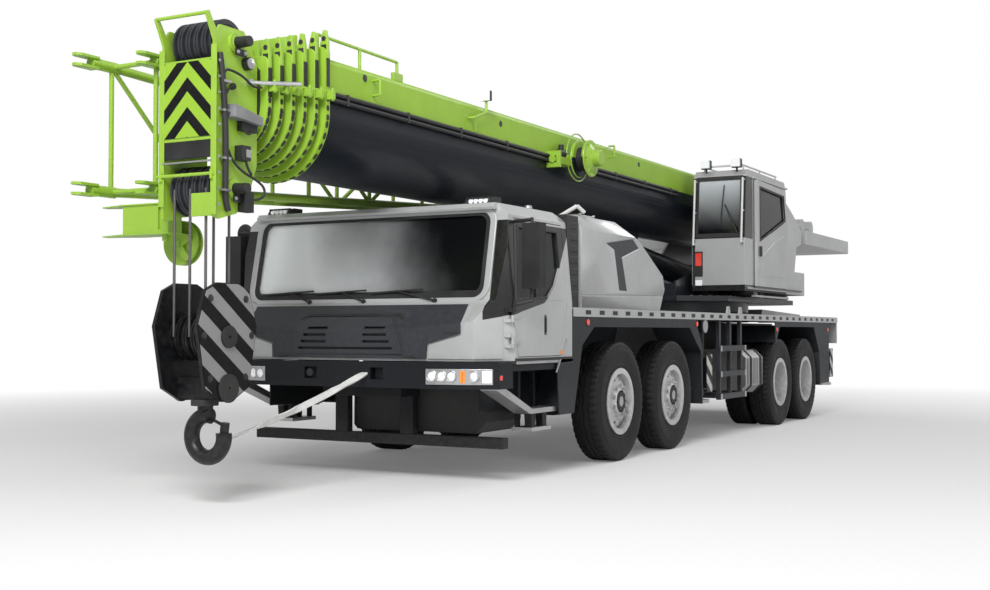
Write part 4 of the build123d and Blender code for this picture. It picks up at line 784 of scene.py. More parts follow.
for node in [name for name in NODES if name.startswith("wheel")]:
    number, side = node.split("_")[1], 1 if node.endswith("left") else -1
    x, y = AXLES[number], TRACK * side
    body, slot = BODY_OF[node], SLOTS[node]
    tyres = Workpiece()
    for middle in ((y,) if number in "12" else (y, y - TWIN_GAP * side)):
        treaded(tyres, (x, middle, TYRE_RADIUS))
    tyres.hang(node + ".tyres", body, rubber, "tyre_rubber", bevel=0, stand_in=(node,))
    portion(node, node + ".rim", rim_paint, width=0.003,
            keep_island=lambda island: max(v.co.z for v in island) < RIM_TOP)
    face = 0.150 if number in "12" else 0.0
    hub = Workpiece()
    hub.turned([(0.04, side * face), (0.115, side * face), (0.115, side * (face - 0.02)), (0.04,
        side * (face - 0.02))], (x, y, TYRE_RADIUS))
    tip = y + side * (face - 0.002)
    hub.bar((x, tip, TYRE_RADIUS), (x, tip + side * 0.006, TYRE_RADIUS), 0.098, 40)
    hub.bolts([around((x, tip, TYRE_RADIUS), "y", 0.1065, k * pi / 5, 0) for k in range(10)],
              (0, side, 0), 0.010, 0.008)
    hub.hang(node + ".hub", body, cast_iron, slot, 0.002)
    nuts = Workpiece()
    step = 0.118 if number in "12" else -0.135
    nuts.bolts([around((x, y + side * (step + 0.022), TYRE_RADIUS), "y", 0.168, (k + 0.5) * pi / 5,
                       0) for k in range(10)], (0, side, 0), 0.018, 0.016)
    if number in "12":
        nuts.bar((x, tip + side * 0.006, TYRE_RADIUS), (x, tip + side * 0.009, TYRE_RADIUS), 0.052,
                 32, 0.046)
    nuts.hang(node + ".nuts", body, steel, slot, 0.001)

# %% [markdown]
# The cab's face is layers: a bonded windscreen with a black ceramic band and a rubber seal, three
# wipers that sweep it, a dark pressed panel with louvres, and lamps that wrap the bumper's corner.
# The screen leans back, so a helper turns a distance across and a height up into a point on it.
# The round mirror hangs on the right-hand door, and swings out with it.
# %% Cab front
CARRIER = BODY_OF["cab_shell"]
LEAN = (2.372 - 2.540) / (2.395 - 1.610)


def on_screen(y, z, out=0.0):
    """A point on the windscreen, or a little in front of it."""
    return (2.540 + LEAN * (z - 1.61) + out, y, z + 0.2 * out)


def on_face(y, z, out=0.0):
    """A point on the panel under the windscreen, which bends in plan and leans above z 1.33."""
    reach = abs(y)
    x = 2.80 - max(0, z - 1.33) * 0.833
    x -= 0.07 * min(1, max(0, (reach - 0.448) / 0.818)) + max(0, (reach - 1.266) / 0.23) * 0.35
    return (x + out, y, z)


def sheet_on(work, place, outline, low, high, inner=()):
    """A plate that follows a surface: outline and its inner edge are equal loops of (y, z)."""
    loops = [[place(y, z, out) for y, z in loop] for loop, out in ((outline, low), (outline, high),
        (inner, high), (inner, low)) if loop]
    if inner:
        return work.stack(loops, closed=True)
    return work.stack(loops)


def rounded(half, low, high, corner, steps=5):
    """A loop of (y, z) points: a rectangle with round corners."""
    points = []
    for y, z, start in ((half - corner, high - corner, 0), (corner - half, high - corner, 90),
                        (corner - half, low + corner, 180), (half - corner, low + corner, 270)):
        for step in range(steps + 1):
            turn = radians(start + 90 * step / steps)
            points.append((y + corner * cos(turn), z + corner * sin(turn)))
    return points


band = Workpiece()
sheet_on(band, on_screen, rounded(1.262, 1.625, 2.382, 0.10), -0.004, 0.012, rounded(1.222, 1.672,
    2.350, 0.08))
sheet_on(band, on_screen, rounded(1.222, 1.640, 1.690, 0.012), -0.004, 0.004)
band.hang("screen_band", CARRIER, black_plastic, "black_plastic", 0.003)
header = Workpiece()
sheet_on(header, on_screen, rounded(1.325, 1.585, 2.44, 0.16), -0.03, 0.020, rounded(1.262, 1.625,
    2.382, 0.10))
header.hang("screen_surround", CARRIER, silver, "silver_paint", 0.008, 3)
wipers = Workpiece()
for pivot, blade in ((-0.58, (-1.12, -0.55)), (0.03, (-0.51, 0.04)), (0.79, (0.10, 0.65))):
    foot, middle = on_screen(pivot, 1.598, 0.035), on_screen(sum(blade) / 2, 1.69, 0.035)
    wipers.bar(on_screen(pivot, 1.60, -0.01), foot, 0.022, 20)
    wipers.bar(foot, middle, 0.011, 8, 0.007)
    wipers.bar(on_screen(blade[0], 1.672, 0.028), on_screen(blade[1], 1.700, 0.028), 0.009, 8)
    wipers.bar(on_screen(blade[0], 1.672, 0.014), on_screen(blade[1], 1.700, 0.014), 0.005, 6)
wipers.hang("wipers", CARRIER, black_plastic, "black_plastic", 0.001)

backs = Workpiece()
for row in range(4):
    z, outer = 1.375 - 0.06 * row, 0.42 + 0.03 * row
    for y in ((0.20, outer), (-outer, -0.20)) if row < 3 else ((-outer, outer),):
        loop = [(y[0], z - 0.022), (y[1], z - 0.022), (y[1], z), (y[0], z)]
        sheet_on(backs, on_face, loop, 0.001, 0.006)
for side in (-1, 1):
    for index in range(4):
        low = 1.315 + 0.03 * index
        loop = [(side * 0.99, low), (side * 1.13, low - 0.004), (side * 1.135, low + 0.008),
                (side * 0.99, low + 0.013)]
        sheet_on(backs, on_face, loop, 0.018, 0.024)
    strip = [(1.13, 1.47), (0.66, 1.40), (0.50, 1.495), (0, 1.495), (0, 1.470), (0.49, 1.470),
             (0.645, 1.375), (1.13, 1.445)]
    sheet_on(backs, on_face, [(side * y, z) for y, z in strip], 0.016, 0.030)
sheet_on(backs, on_face, [(-0.76, 1.10), (0.76, 1.10), (0.70, 1.118), (-0.70, 1.118)], 0.018, 0.03)
backs.hang("face_louvres", CARRIER, black_plastic, "black_plastic", 0.002)

LAMP_PLAN = [(2.854, 0.872), (2.854, 0.905), (2.804, 1.232), (2.700, 1.445), (2.650, 1.445),
             (2.740, 1.200), (2.800, 0.872)]
lamps, shells, ambers = workpieces(3)
for side in (-1, 1):
    shells.plan_plate([(x, side * y) for x, y in LAMP_PLAN], (0.878, 1.012))
    for x, y in ((2.851, 0.930), (2.838, 1.020), (2.824, 1.110), (2.772, 1.300)):
        lamps.turned([(0.004, 0.018), (0.030, 0.010), (0.043, -0.004), (0.043, -0.03),
                      (0.004, -0.03)], (x, side * y, 0.948), "x", 28)
        shells.turned([(0.043, 0.014), (0.051, 0.012), (0.051, -0.05), (0.043, -0.05)],
                      (x, side * y, 0.948), "x", 28)
    ambers.plan_plate([(x, side * y) for x, y in ((2.815, 1.185), (2.807, 1.235), (2.790, 1.235),
        (2.797, 1.185))], (0.893, 0.997))
    lamps.plan_plate([(x, side * y) for x, y in ((2.742, 1.365), (2.706, 1.437), (2.690, 1.437),
        (2.726, 1.365))], (0.893, 0.997))
shells.hang("headlamp_shells", CARRIER, steel, "lamp_lens", 0.003, stand_in=("headlamps",))
lamps.hang("headlamp_lenses", CARRIER, clear_lamp, "lamp_lens", 0.001)
ambers.hang("turn_lamps", CARRIER, amber_lamp, "lamp_lens", 0.003)
roof_lamps, visors = workpieces(2)
for side in (-1, 1):
    for y in (1.035, 1.085, 1.135, 1.185):
        roof_lamps.bar((2.33, side * y, 2.487), (2.368, side * y, 2.482), 0.020, 16)
    loop = [(2.17, 2.46), (2.375, 2.46), (2.372, 2.468), (2.34, 2.514), (2.30, 2.524),
            (2.17, 2.524)]
    for y in (0.972, 1.232):
        visors.side_plate(loop, across(side, y, y + 0.008))
    visors.bar((2.345, side * 0.975, 2.515), (2.345, side * 1.238, 2.515), 0.007, 8)
flap = Workpiece()
flap.front_plate([(-1.60, 1.79), (-1.47, 1.79), (-1.47, 1.96), (-1.60, 1.96)], (2.150, 2.162))
roof_lamps.hang("roof_lamps", CARRIER, clear_lamp, "lamp_lens", 0.001)
visors.hang("roof_lamp_frames", CARRIER, black_plastic, "black_plastic", 0.001)
round_mirror = Workpiece()
round_mirror.bar((2.29, -1.60, 2.31), (2.21, -1.68, 2.31), 0.012, 12)
round_mirror.turned([(0.004, 0.03), (0.075, 0.022), (0.095, 0.0), (0.095, -0.012),
                     (0.004, -0.012)], (2.21, -1.66, 2.31), "x", 36)
round_mirror.hang("round_mirror", BODY_OF["cab_door_right"], black_plastic, "black_plastic", 0.002)
flap.hang("side_flap", CARRIER, lime, "lime_paint", 0.003)
print("cab front made")

# %% [markdown]
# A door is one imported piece, but three materials: the painted leaf, the tinted pane and the black
# mirror on its arms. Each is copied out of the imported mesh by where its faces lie, so the shapes
# stay the real ones. A rubber seal, a flush handle and a lower guard strip finish the leaf.
# %% Cab doors
def leaf_side(z):
    """How far out the cab's side stands at a height."""
    return 1.496 - max(0, z - 1.6) * 0.0934


def is_mirror(spot):
    return spot.z > 1.55 and abs(spot.y) > leaf_side(spot.z) + 0.004


def side_loop(work, points, side, low, high, inner=()):
    """A plate or a frame that lies on the cab's side; points are (x, z)."""
    loops = [[(x, side * (leaf_side(z) + out), z) for x, z in loop]
             for loop, out in ((points, low), (points, high), (inner, high), (inner, low)) if loop]
    work.stack(loops, closed=bool(inner))


def shrunk(points, by):
    """The outline drawn in towards its middle."""
    mx = sum(x for x, z in points) / len(points)
    mz = sum(z for x, z in points) / len(points)
    return [(x + (by if x < mx else -by), z + (by if z < mz else -by)) for x, z in points]


WINDOW = [(1.44, 1.64), (2.34, 1.60), (2.24, 2.27), (1.44, 2.27)]
for node, side in (("cab_door_left", 1), ("cab_door_right", -1)):
    body = BODY_OF[node]
    portion(node, node + ".leaf", cab_paint, lambda spot: not is_mirror(spot),
            lambda island: len(island) > 60, 0.005)
    portion(node, node + ".pane", cab_glass, None,
            lambda island: len(island) <= 60, 0.0)
    portion(node, node + ".mirror", black_plastic, is_mirror,
            lambda island: len(island) > 60, 0.012)
    trim = Workpiece()
    side_loop(trim, WINDOW, side, -0.03, 0.004, shrunk(WINDOW, 0.022))
    side_loop(trim, [(1.935, 1.63), (1.965, 1.63), (1.93, 2.26), (1.90, 2.26)], side, -0.028,
              -0.004)
    side_loop(trim, [(1.778, 1.303), (1.822, 1.303), (1.822, 1.477), (1.778, 1.477)], side,
              -0.021, -0.012)
    trim.bar((1.80, side * 1.494, 1.325), (1.80, side * 1.494, 1.455), 0.013, 12)
    trim.bar((1.80, side * 1.478, 1.325), (1.80, side * 1.496, 1.325), 0.010, 10)
    trim.bar((1.80, side * 1.478, 1.455), (1.80, side * 1.496, 1.455), 0.010, 10)
    trim.hang(node + ".trim", body, black_plastic, "black_plastic", 0.003)
    corner = Workpiece()
    side_loop(corner, [(1.430, 1.625), (1.430, 1.962), (1.585, 1.756), (1.790, 1.612)], side,
              -0.020, 0.007)
    corner.hang(node + ".corner", body, silver, "silver_paint", 0.002)
    glass = Workpiece()
    pane = [(1.565, 1.73), (1.72, 1.73), (1.72, 2.24), (1.565, 2.24)]
    glass.front_plate([(side * y, z) for y, z in pane], (2.2985, 2.2935))
    glass.hang(node + ".mirror_glass", body, steel, "black_plastic", 0.002)
cab_trim, cab_marks, cab_steel = workpieces(3)
for side in (-1, 1):
    side_loop(cab_trim, [(1.235, 1.075), (2.39, 1.075), (2.39, 1.098), (1.235, 1.098)], side,
              -0.002, 0.006)
    cab_trim.block((1.16, 1.236), across(side, 1.30, 1.44), (1.60, 2.44))
    cab_steel.block((1.50, 2.36), across(side, 1.36, 1.494), (1.045, 1.072))
    cab_marks.block((1.44, 1.50), across(side, 1.492, 1.502), (1.125, 1.155))
    cab_steel.bar((1.50, side * 1.16, 2.462), (1.50, side * 1.16, 2.515), 0.045, 24, 0.038)
    cab_trim.bar((2.15, side * 1.30, 2.452), (1.34, side * 1.30, 2.452), 0.014, 10)
cab_trim.hang("cab_trim", CARRIER, black_plastic, "black_plastic", 0.003)
cab_steel.hang("cab_brightwork", CARRIER, steel, "silver_paint", 0.003)
cab_marks.hang("side_markers", CARRIER, amber_lamp, "lamp_lens", 0.003)
hood_ribs, hood_steel, hood_arrow = workpieces(3)
ARROW = [(0.32, 2.225), (-0.385, 2.312), (-0.548, 2.22), (-0.092, 2.105), (-0.222, 1.756),
         (-0.026, 1.756), (0.104, 2.165)]
for side in (-1, 1):
    hood_arrow.side_plate(ARROW, across(side, 1.4335, 1.4365))
    for x, z in ((0.41, 2.44), (0.73, 2.44)):
        hood_steel.bar((x, side * 1.34, 2.49), (x, side * 1.34, 2.50), 0.016, 12)
    hood_steel.rail([(0.93, side * 1.20, 2.452), (0.86, side * 1.37, 2.56),
                     (0.78, side * 1.41, 2.50)], 0.020, 12)
    for row in range(7):
        z = 1.66 + 0.11 * row
        hood_ribs.block((0.975, 1.165), across(side, 1.418, 1.428), (z, z + 0.06))
hood_arrow.hang("hood_arrows", CARRIER, panel_grey, "charcoal_paint", 0.001)
hood_steel.hang("hood_rails", CARRIER, white_gloss, "silver_paint", 0.002)
hood_ribs.hang("duct_louvres", CARRIER, black_plastic, "black_plastic", 0.004)
print("cab sides made")

# %% [markdown]
# The operator's cab is a hollow shell, so its seat shows through the tinted glass. White grab
# rails run up both front corners and round the roof, and the side door has its own black window
# seal, an oval handle and a silver track below it.
# %% Operator's cab
UPPER = BODY_OF["operator_cab"]
door = BODY_OF["operator_door"]
portion("operator_door", "operator_door.leaf", silver, None,
        lambda island: max(v.co.y for v in island) - min(v.co.y for v in island) > 0.02, 0.006)
portion("operator_door", "operator_door.pane", cab_glass, None,
        lambda island: max(v.co.y for v in island) - min(v.co.y for v in island) < 0.02, 0.0)
OP_PANE = [(-4.86, 2.56), (-4.86, 3.33), (-6.04, 3.30), (-6.12, 2.93), (-5.70, 2.80)]
seal = Workpiece()
seal.stack([[(x, y, z) for x, z in loop] for loop, y in ((OP_PANE, 1.44), (OP_PANE, 1.454),
    (shrunk(OP_PANE, 0.03), 1.454), (shrunk(OP_PANE, 0.03), 1.44))], closed=True)
seal.bar((-4.86, 1.462, 2.36), (-4.86, 1.462, 2.50), 0.022, 14)
seal.hang("operator_door.seal", door, black_plastic, "black_plastic", 0.004)


def on_op_screen(y, z, out=0.0):
    """A point on the operator's windscreen, or a little in front of it."""
    return (-4.35 - max(0, z - 2.57) * 0.1023 + out, y, z)


op_black, op_rails, op_lamps, op_red = workpieces(4)
frame_loop = [(0.70, 2.60), (1.355, 2.60), (1.355, 3.44), (0.70, 3.44)]
inner_loop = [(0.738, 2.66), (1.318, 2.66), (1.318, 3.385), (0.738, 3.385)]
sheet_on(op_black, on_op_screen, frame_loop, -0.01, 0.008, inner_loop)
op_black.bar(on_op_screen(1.30, 2.66, 0.03), on_op_screen(1.12, 3.05, 0.03), 0.010, 8)
op_black.bar(on_op_screen(1.06, 2.80, 0.022), on_op_screen(1.10, 3.32, 0.022), 0.008, 8)
op_black.block((-4.362, -4.342), (0.665, 0.70), (1.92, 2.58))
op_black.block((-6.30, -4.40), (1.386, 1.402), (1.885, 1.925))
for y, low, high in ((0.70, 2.50, 3.40), (1.372, 2.52, 3.40)):
    foot, top = on_op_screen(y, low, 0.075), on_op_screen(y, high, 0.075)
    op_rails.bar(foot, top, 0.015, 14)
    for z in (low + 0.02, (low + high) / 2, high - 0.02):
        op_rails.bar(on_op_screen(y, z, 0.0), on_op_screen(y, z, 0.075), 0.012, 10)
for y in (0.75, 1.30):
    op_rails.bar((-4.60, y, 3.60), (-6.15, y, 3.60), 0.014, 12)
    for x in (-4.62, -5.35, -6.12):
        op_rails.bar((x, y, 3.515), (x, y, 3.60), 0.012, 10)
op_rails.bar((-4.60, 0.75, 3.60), (-4.60, 1.30, 3.60), 0.014, 12)
for y in (0.82, 1.25):
    op_lamps.block((-4.47, -4.40), (y - 0.06, y + 0.06), (3.56, 3.665))
    op_black.block((-4.52, -4.455), (y - 0.066, y + 0.066), (3.553, 3.672))
    op_black.bar((-4.49, y, 3.50), (-4.49, y, 3.56), 0.014, 10)
op_red.block((-4.350, -4.335), (0.705, 0.795), (2.22, 2.40))
op_black.block((-4.352, -4.338), (0.695, 0.81), (2.08, 2.42))
op_lamps.block((-4.350, -4.330), (0.705, 0.800), (1.955, 2.03))
op_black.hang("operator_trim", UPPER, black_plastic, "black_plastic", 0.003)
op_rails.hang("operator_rails", UPPER, white_gloss, "silver_paint", 0.002)
op_lamps.hang("operator_lamps", UPPER, clear_lamp, "lamp_lens", 0.006)
op_red.hang("operator_red_lamp", UPPER, red_lamp, "lamp_lens", 0.006)
step = Workpiece()
step.block((-6.20, -4.62), (1.402, 1.470), (1.80, 1.825))
step.block((-6.28, -4.45), (1.395, 1.412), (1.905, 1.935))
step.hang("operator_step", UPPER, steel, "silver_paint", 0.003)
embossed = Workpiece()
embossed.side_plate([(-4.95, 2.10), (-4.95, 2.36), (-5.62, 2.62), (-6.05, 2.72), (-6.05, 2.10)],
                    (1.448, 1.4545))
embossed.hang("operator_door.panel", door, silver, "silver_paint", 0.006, 3)
print("operator's cab made")

# %% [markdown]
# Warning paint comes next: chevrons on the boom's head, slanted bands on the hook block's cheeks
# and on the outrigger ends. Each is a thin skin just proud of the steel. The deck's chequer plate
# is a thin skin too, and so is the painted shade of the slots along its edge, as dark strips.
# %% Stripes, hook and deck
HEAD = BODY_OF["boom_section_7"]
sign = Workpiece()
sign.front_plate([(-0.24, 2.795), (0.24, 2.795), (0.24, 3.37), (-0.24, 3.37)], (4.851, 4.857))
sign.hang("head_chevrons", HEAD, chevron_paint, "lime_paint", 0.002)
CHEEK = [(.117, .008), (.243, .065), (.331, .33), (.244, .794), (.057, .892)]
CHEEK = CHEEK + [(-out, down) for out, down in reversed(CHEEK)]
CHEEK = [(HOOK_X + out, HOOK_TOP - down) for out, down in CHEEK]
skins = Workpiece()
for side in (-1, 1):
    skins.side_plate(CHEEK, across(side, 0.2225, 0.2285))
skins.hang("hook_bands", BODY_OF["hook_block"], hook_stripes, "hook_grey", 0.002)
PLATE_BOLTS = ((-.2, -.12), (.2, -.12), (-.27, -.4), (.27, -.4), (-.2, -.72), (.2, -.72))
hook_nuts = Workpiece()
for side in (-1, 1):
    hook_nuts.turned([(0.012, 0.0), (0.085, 0.0), (0.085, side * 0.02), (0.012, side * 0.02)],
                     (HOOK_X, side * 0.228, HOOK_TOP - 0.41), "y", 32)
    hook_nuts.turned([(0.012, 0.0), (0.11, 0.0), (0.11, side * 0.016), (0.012, side * 0.016)],
                     (HOOK_X, side * 0.228, HOOK_TOP - 0.80), "y", 32)
    hook_nuts.bolts([(HOOK_X + dx, side * 0.228, HOOK_TOP + dz) for dx, dz in PLATE_BOLTS],
                    (0, side, 0), 0.022, 0.014)
hook_nuts.turned([(0.062, 0.0), (0.105, 0.0), (0.105, 0.05), (0.062, 0.05)], (HOOK_X, 0, 0.765),
                 "z", 32)
hook_nuts.hang("hook_nuts", BODY_OF["hook_block"], cast_iron, "hook_grey", 0.002)

DECK_SKIN = (DECK_TOP, DECK_TOP + 0.0025)
deck_skin, slot_shade_strips = workpieces(2)
deck_skin.block((-2.13, 1.19), (1.45, 1.49), DECK_SKIN)
deck_skin.block((-2.13, 1.19), (-1.49, -1.45), DECK_SKIN)
deck_skin.block((-4.05, -2.20), (-1.49, 1.49), DECK_SKIN)
for side in (-1, 1):
    deck_skin.block((-6.38, -4.06), across(side, 1.135, 1.49), DECK_SKIN)
    deck_skin.block((-8.93, -6.39), across(side, 0.91, 1.49), DECK_SKIN)
    # Dark strips along the deck's edge are painted shade standing for its slots.
    for index in range(30):
        x = -8.950 + 10.16 / 31 * (index + 1)
        slot_shade_strips.block((x - 0.062, x + 0.062), across(side, 1.4985, 1.5005), (1.496, 1.538))
deck_skin.hang("deck_chequer", CARRIER, deck_plate, "silver_paint", 0)
slot_shade_strips.hang("deck_slot_shade", CARRIER, black_plastic, "black_plastic", 0)
for corner in ("front_left", "front_right", "rear_left", "rear_right"):
    side = 1 if "left" in corner else -1
    here = (-2.745 if "front" in corner else -8.655) + 0.116 * side
    plate = Workpiece()
    plate.block((here - 0.094, here + 0.094), across(side, 1.4965, 1.4995), (0.605, 1.055))
    plate.hang(f"outrigger_bands_{corner}", BODY_OF[f"outrigger_beam_{corner}"], end_stripes,
               "frame_grey", 0)
print("stripes made")

# %% [markdown]
# Six collars stand at the boom's mouth, one for each nested section. Each has oval recesses,
# drawn as flat dark plates of painted shade, tall pads and pointed lugs with an eye. They are
# written once as a loop of points that shrinks from section to section, and each rides on the
# section that carries it.
# %% Collars
def section_loop(number, grow):
    """The outline of one boom section, grown all round, as (y, z) points."""
    half = BOOM_HALF - NEST_SIDE * (number - 1) + grow
    low = BOOM_LOW + NEST_SIDE * (number - 1) - grow
    top = BOOM_TOP - NEST_TOP * (number - 1) + grow
    belly = low + half
    points = [(half * cos(radians(180 + 10 * k)), belly + half * sin(radians(180 + 10 * k)))
              for k in range(19)]
    return points + [(half, top - 0.05), (half - 0.05, top), (0.05 - half, top),
                     (-half, top - 0.05)]


def oval(work, centre, along, way, half=0.030, narrow=0.017, thick=0.006):
    """A flat oval plate: its long side follows along, its short side the crane's length."""
    rings = []
    for height in (0.0, thick):
        foot = Vector(centre) + way * height
        rings.append([tuple(foot + along * half * sin(2 * pi * k / 18)
                            + Vector((narrow * cos(2 * pi * k / 18), 0, 0))) for k in range(18)])
    work.stack(rings)


for number in range(1, 7):
    front = BOOM_FRONT + COLLAR_PITCH * (number - 1)
    half = BOOM_HALF - NEST_SIDE * (number - 1)
    top = BOOM_TOP - NEST_TOP * (number - 1)
    belly = BOOM_LOW + BOOM_HALF
    body = BODY_OF["boom_base" if number == 1 else f"boom_section_{number}"]
    pads, eyes_and_recess_shade, lugs = workpieces(3)
    outer, inner = section_loop(number + 1, 0.030), section_loop(number + 1, 0.006)
    pads.stack([[(x, y, z) for y, z in loop] for loop, x in ((outer, front - 0.01),
        (outer, front + 0.016), (inner, front + 0.016), (inner, front - 0.01))], closed=True)
    # Dark oval plates on the collar's face are painted shade for its oval recesses.
    for k in range(1, 18):
        turn = radians(180 + 10 * k)
        way = Vector((0, cos(turn), sin(turn)))
        spot = (front - 0.029, (half + 0.060) * way.y, belly + (half + 0.060) * way.z)
        oval(eyes_and_recess_shade, spot, Vector((0, -sin(turn), cos(turn))), way)
    for side in (-1, 1):
        way = Vector((0, side, 0))
        for k in range(3):
            oval(eyes_and_recess_shade, (front - 0.029, side * (half + 0.060), 3.06 + 0.075 * k),
                 Vector((0, 0, 1)), way, 0.024)
        pads.block((front - 0.047, front - 0.011),
                   across(side, half + 0.058, half + 0.070), (top - 0.26, top - 0.03))
        lugs.block((front - 0.055, front - 0.003),
                   across(side, half + 0.050, half + 0.082), (3.262, 3.280))
        lug = [(half + 0.066, top - 0.05), (half + 0.066, top + 0.10), (half + 0.045, top + 0.20),
               (half + 0.020, top + 0.20), (half - 0.010, top + 0.09), (half - 0.010, top + 0.02)]
        lugs.front_plate([(side * y, z) for y, z in lug], (front - 0.048, front - 0.014))
        eyes_and_recess_shade.bar((front - 0.052, side * (half + 0.030), top + 0.13), (front - 0.010,
            side * (half + 0.030), top + 0.13), 0.020, 20)
        eyes_and_recess_shade.block((front - 0.0135, front - 0.009), across(side, half + 0.008, half + 0.056),
                   (top, top + 0.08))
    pads.hang(f"slide_pads_{number}", body, black_plastic, "black_plastic", 0.002)
    eyes_and_recess_shade.hang(f"pad_eyes_and_recess_shade_{number}", body, cast_iron, "charcoal_paint", 0)
    lugs.hang(f"collar_lugs_{number}", body, lime, "lime_paint", 0.004)
print("collars made")

# %% [markdown]
# The boom's head is busy: dark sheave pins that stand proud, a harness down its front edge, a
# grey junction box, the limit switch with its loop of hose, and a round lamp. Hoses are curves
# with a thickness, and sag the way a real hose does between its clips.
# %% Boom head
SHEAVE_RINGS = ((0.150, 0.166, 0.006), (0.108, 0.122, 0.012), (0.060, 0.088, 0.022))
head_dark, head_steel, head_lime = workpieces(3)
rings, hub_rings = workpieces(2)
for x, z in (UPPER_SHEAVE, LOWER_SHEAVE):
    for side in (-1, 1):
        head_dark.bar((x, side * 0.286, z), (x, side * 0.414, z), 0.046, 28, 0.040)
        head_dark.block((x - 0.09, x + 0.03), across(side, 0.29, 0.305), (z - 0.10, z - 0.045))
        head_steel.bolts([(x + dx, side * 0.305, z - 0.072) for dx in (-0.07, 0.01)],
                         (0, side, 0), 0.012, 0.01)
        for low, high, out in SHEAVE_RINGS:
            ring = [(low, 0.188), (high, 0.188), (high, 0.190 + out), (low, 0.190 + out)]
            (hub_rings if high < 0.1 else rings).turned([(radius, side * y) for radius, y in ring],
                                                        (x, 0, z), "y", 44)
rings.hang("sheave_rings", BODY_OF["head_sheaves"], panel_grey, "charcoal_paint", 0.002)
hub_rings.hang("sheave_hubs", BODY_OF["head_sheaves"], steel, "charcoal_paint", 0.002)
head_lime.block((4.849, 4.858), (0.232, 0.285), (2.20, 3.48))
head_lime.block((4.849, 4.858), (-0.285, -0.232), (2.28, 3.48))
head_lime.side_plate([(4.845, 2.77), (4.845, 2.75), (4.83, 2.75), (4.83, 2.77)], (-0.24, 0.24))
head_dark.front_plate([(-0.238, 2.635), (0.238, 2.635), (0.238, 2.768), (-0.238, 2.768)],
                      (4.835, 4.848))
head_steel.bar((4.855, -0.25, 2.608), (4.855, 0.25, 2.608), 0.008, 10)
head_dark.bar((4.50, 0.262, 3.39), (4.50, 0.315, 3.39), 0.050, 28)
head_steel.turned([(0.004, 0.0), (0.040, 0.0), (0.044, 0.006), (0.004, 0.012)],
                  (4.50, 0.315, 3.39), "y", 28)
head_steel.bar((4.47, 0.285, 3.25), (4.15, 0.53, 3.27), 0.018, 16)
head_steel.bar((4.47, 0.26, 3.25), (4.47, 0.30, 3.25), 0.030, 16)
head_dark.block((4.525, 4.625), (0.265, 0.345), (2.63, 2.745))
head_steel.block((4.528, 4.585), (0.344, 0.350), (2.655, 2.715))
head_dark.block((4.475, 4.585), (0.265, 0.335), (2.24, 2.40))
head_dark.block((4.42, 4.60), (0.268, 0.32), (2.86, 2.935))
head_dark.bar((4.66, 0.262, 3.19), (4.66, 0.292, 3.19), 0.026, 16)
for z in (3.20, 2.98, 2.62, 2.38):
    head_steel.block((4.72, 4.80), (0.262, 0.318), (z, z + 0.018))
head_steel.bolts([(4.82, 0.286, z / 100) for z in range(228, 345, 12)], (0, 1, 0), 0.010, 0.008)
for k in range(6):
    front = BOOM_FRONT + COLLAR_PITCH * k
    y = 0.54 - NEST_SIDE * k
    for side in (-1, 1):
        bracket = Workpiece()
        bracket.block((front - 0.05, front - 0.008), across(side, y, y + 0.06), (3.20, 3.27))
        bracket.bar((front - 0.03, side * (y + 0.045), 3.19), (front - 0.03, side * (y + 0.045),
            3.29), 0.014, 12)
        bracket.hang(f"pad_bracket_{k + 1}_{'left' if side > 0 else 'right'}", BODY_OF["boom_base"
            if k == 0 else f"boom_section_{k + 1}"], lime, "lime_paint", 0.003)
head_dark.hang("head_dark_parts", HEAD, black_plastic, "black_plastic", 0.004)
head_steel.hang("head_bright_parts", HEAD, steel, "charcoal_paint", 0.002)
head_lime.hang("head_flanges", HEAD, lime, "lime_paint", 0.003)
box = Workpiece()
box.side_plate([(4.73, 3.045), (4.40, 2.985), (4.40, 2.915), (4.73, 2.945)], (0.264, 0.36))
box.hang("junction_box", HEAD, grey_plastic, "black_plastic", 0.006)
pipe("head_harness", [[(4.80, 0.27, 3.42), (4.80, 0.29, 3.30), (4.775, 0.295, 3.05),
                       (4.765, 0.30, 2.77), (4.76, 0.295, 2.50), (4.755, 0.29, 2.30),
                       (4.72, 0.29, 2.24)]], 0.024, HEAD, hose_rubber)
HEAD_HOSES = [
    [(4.79, 0.29, 3.22), (4.79, 0.30, 3.30), (4.70, 0.31, 3.30), (4.58, 0.32, 3.27),
     (4.48, 0.33, 3.20), (4.40, 0.34, 3.22)],
    [(4.75, 0.29, 2.74), (4.70, 0.30, 2.62), (4.58, 0.315, 2.54), (4.45, 0.33, 2.50),
     (4.34, 0.335, 2.44), (4.37, 0.335, 2.35), (4.48, 0.32, 2.34)],
    [(4.76, 0.29, 3.10), (4.72, 0.30, 3.20), (4.66, 0.295, 3.19)],
    [(4.60, 0.29, 2.93), (4.58, 0.32, 2.86), (4.52, 0.33, 2.83), (4.47, 0.31, 2.88)],
    [(4.57, 0.33, 2.64), (4.56, 0.33, 2.58), (4.50, 0.33, 2.53)]]
pipe("head_hoses", HEAD_HOSES, 0.010, HEAD, hose_rubber)
print("head made")

# %% [markdown]
# Along the boom the two colours meet at a pair of dark service pipes in clips. The cable reel is
# a dished lime drum on a bracket, with a hoop that guards its cable. A work lamp stands on a bent
# arm, and a lime rail guards the boom's mouth.
# %% Boom sides
BOOM = BODY_OF["boom_base"]


def colour_line(x, y, drop=0.0):
    """A point on the line between the boom's two colours."""
    return (x, y, 3.262 + 0.0045 * (x + AXLE_1) - drop)


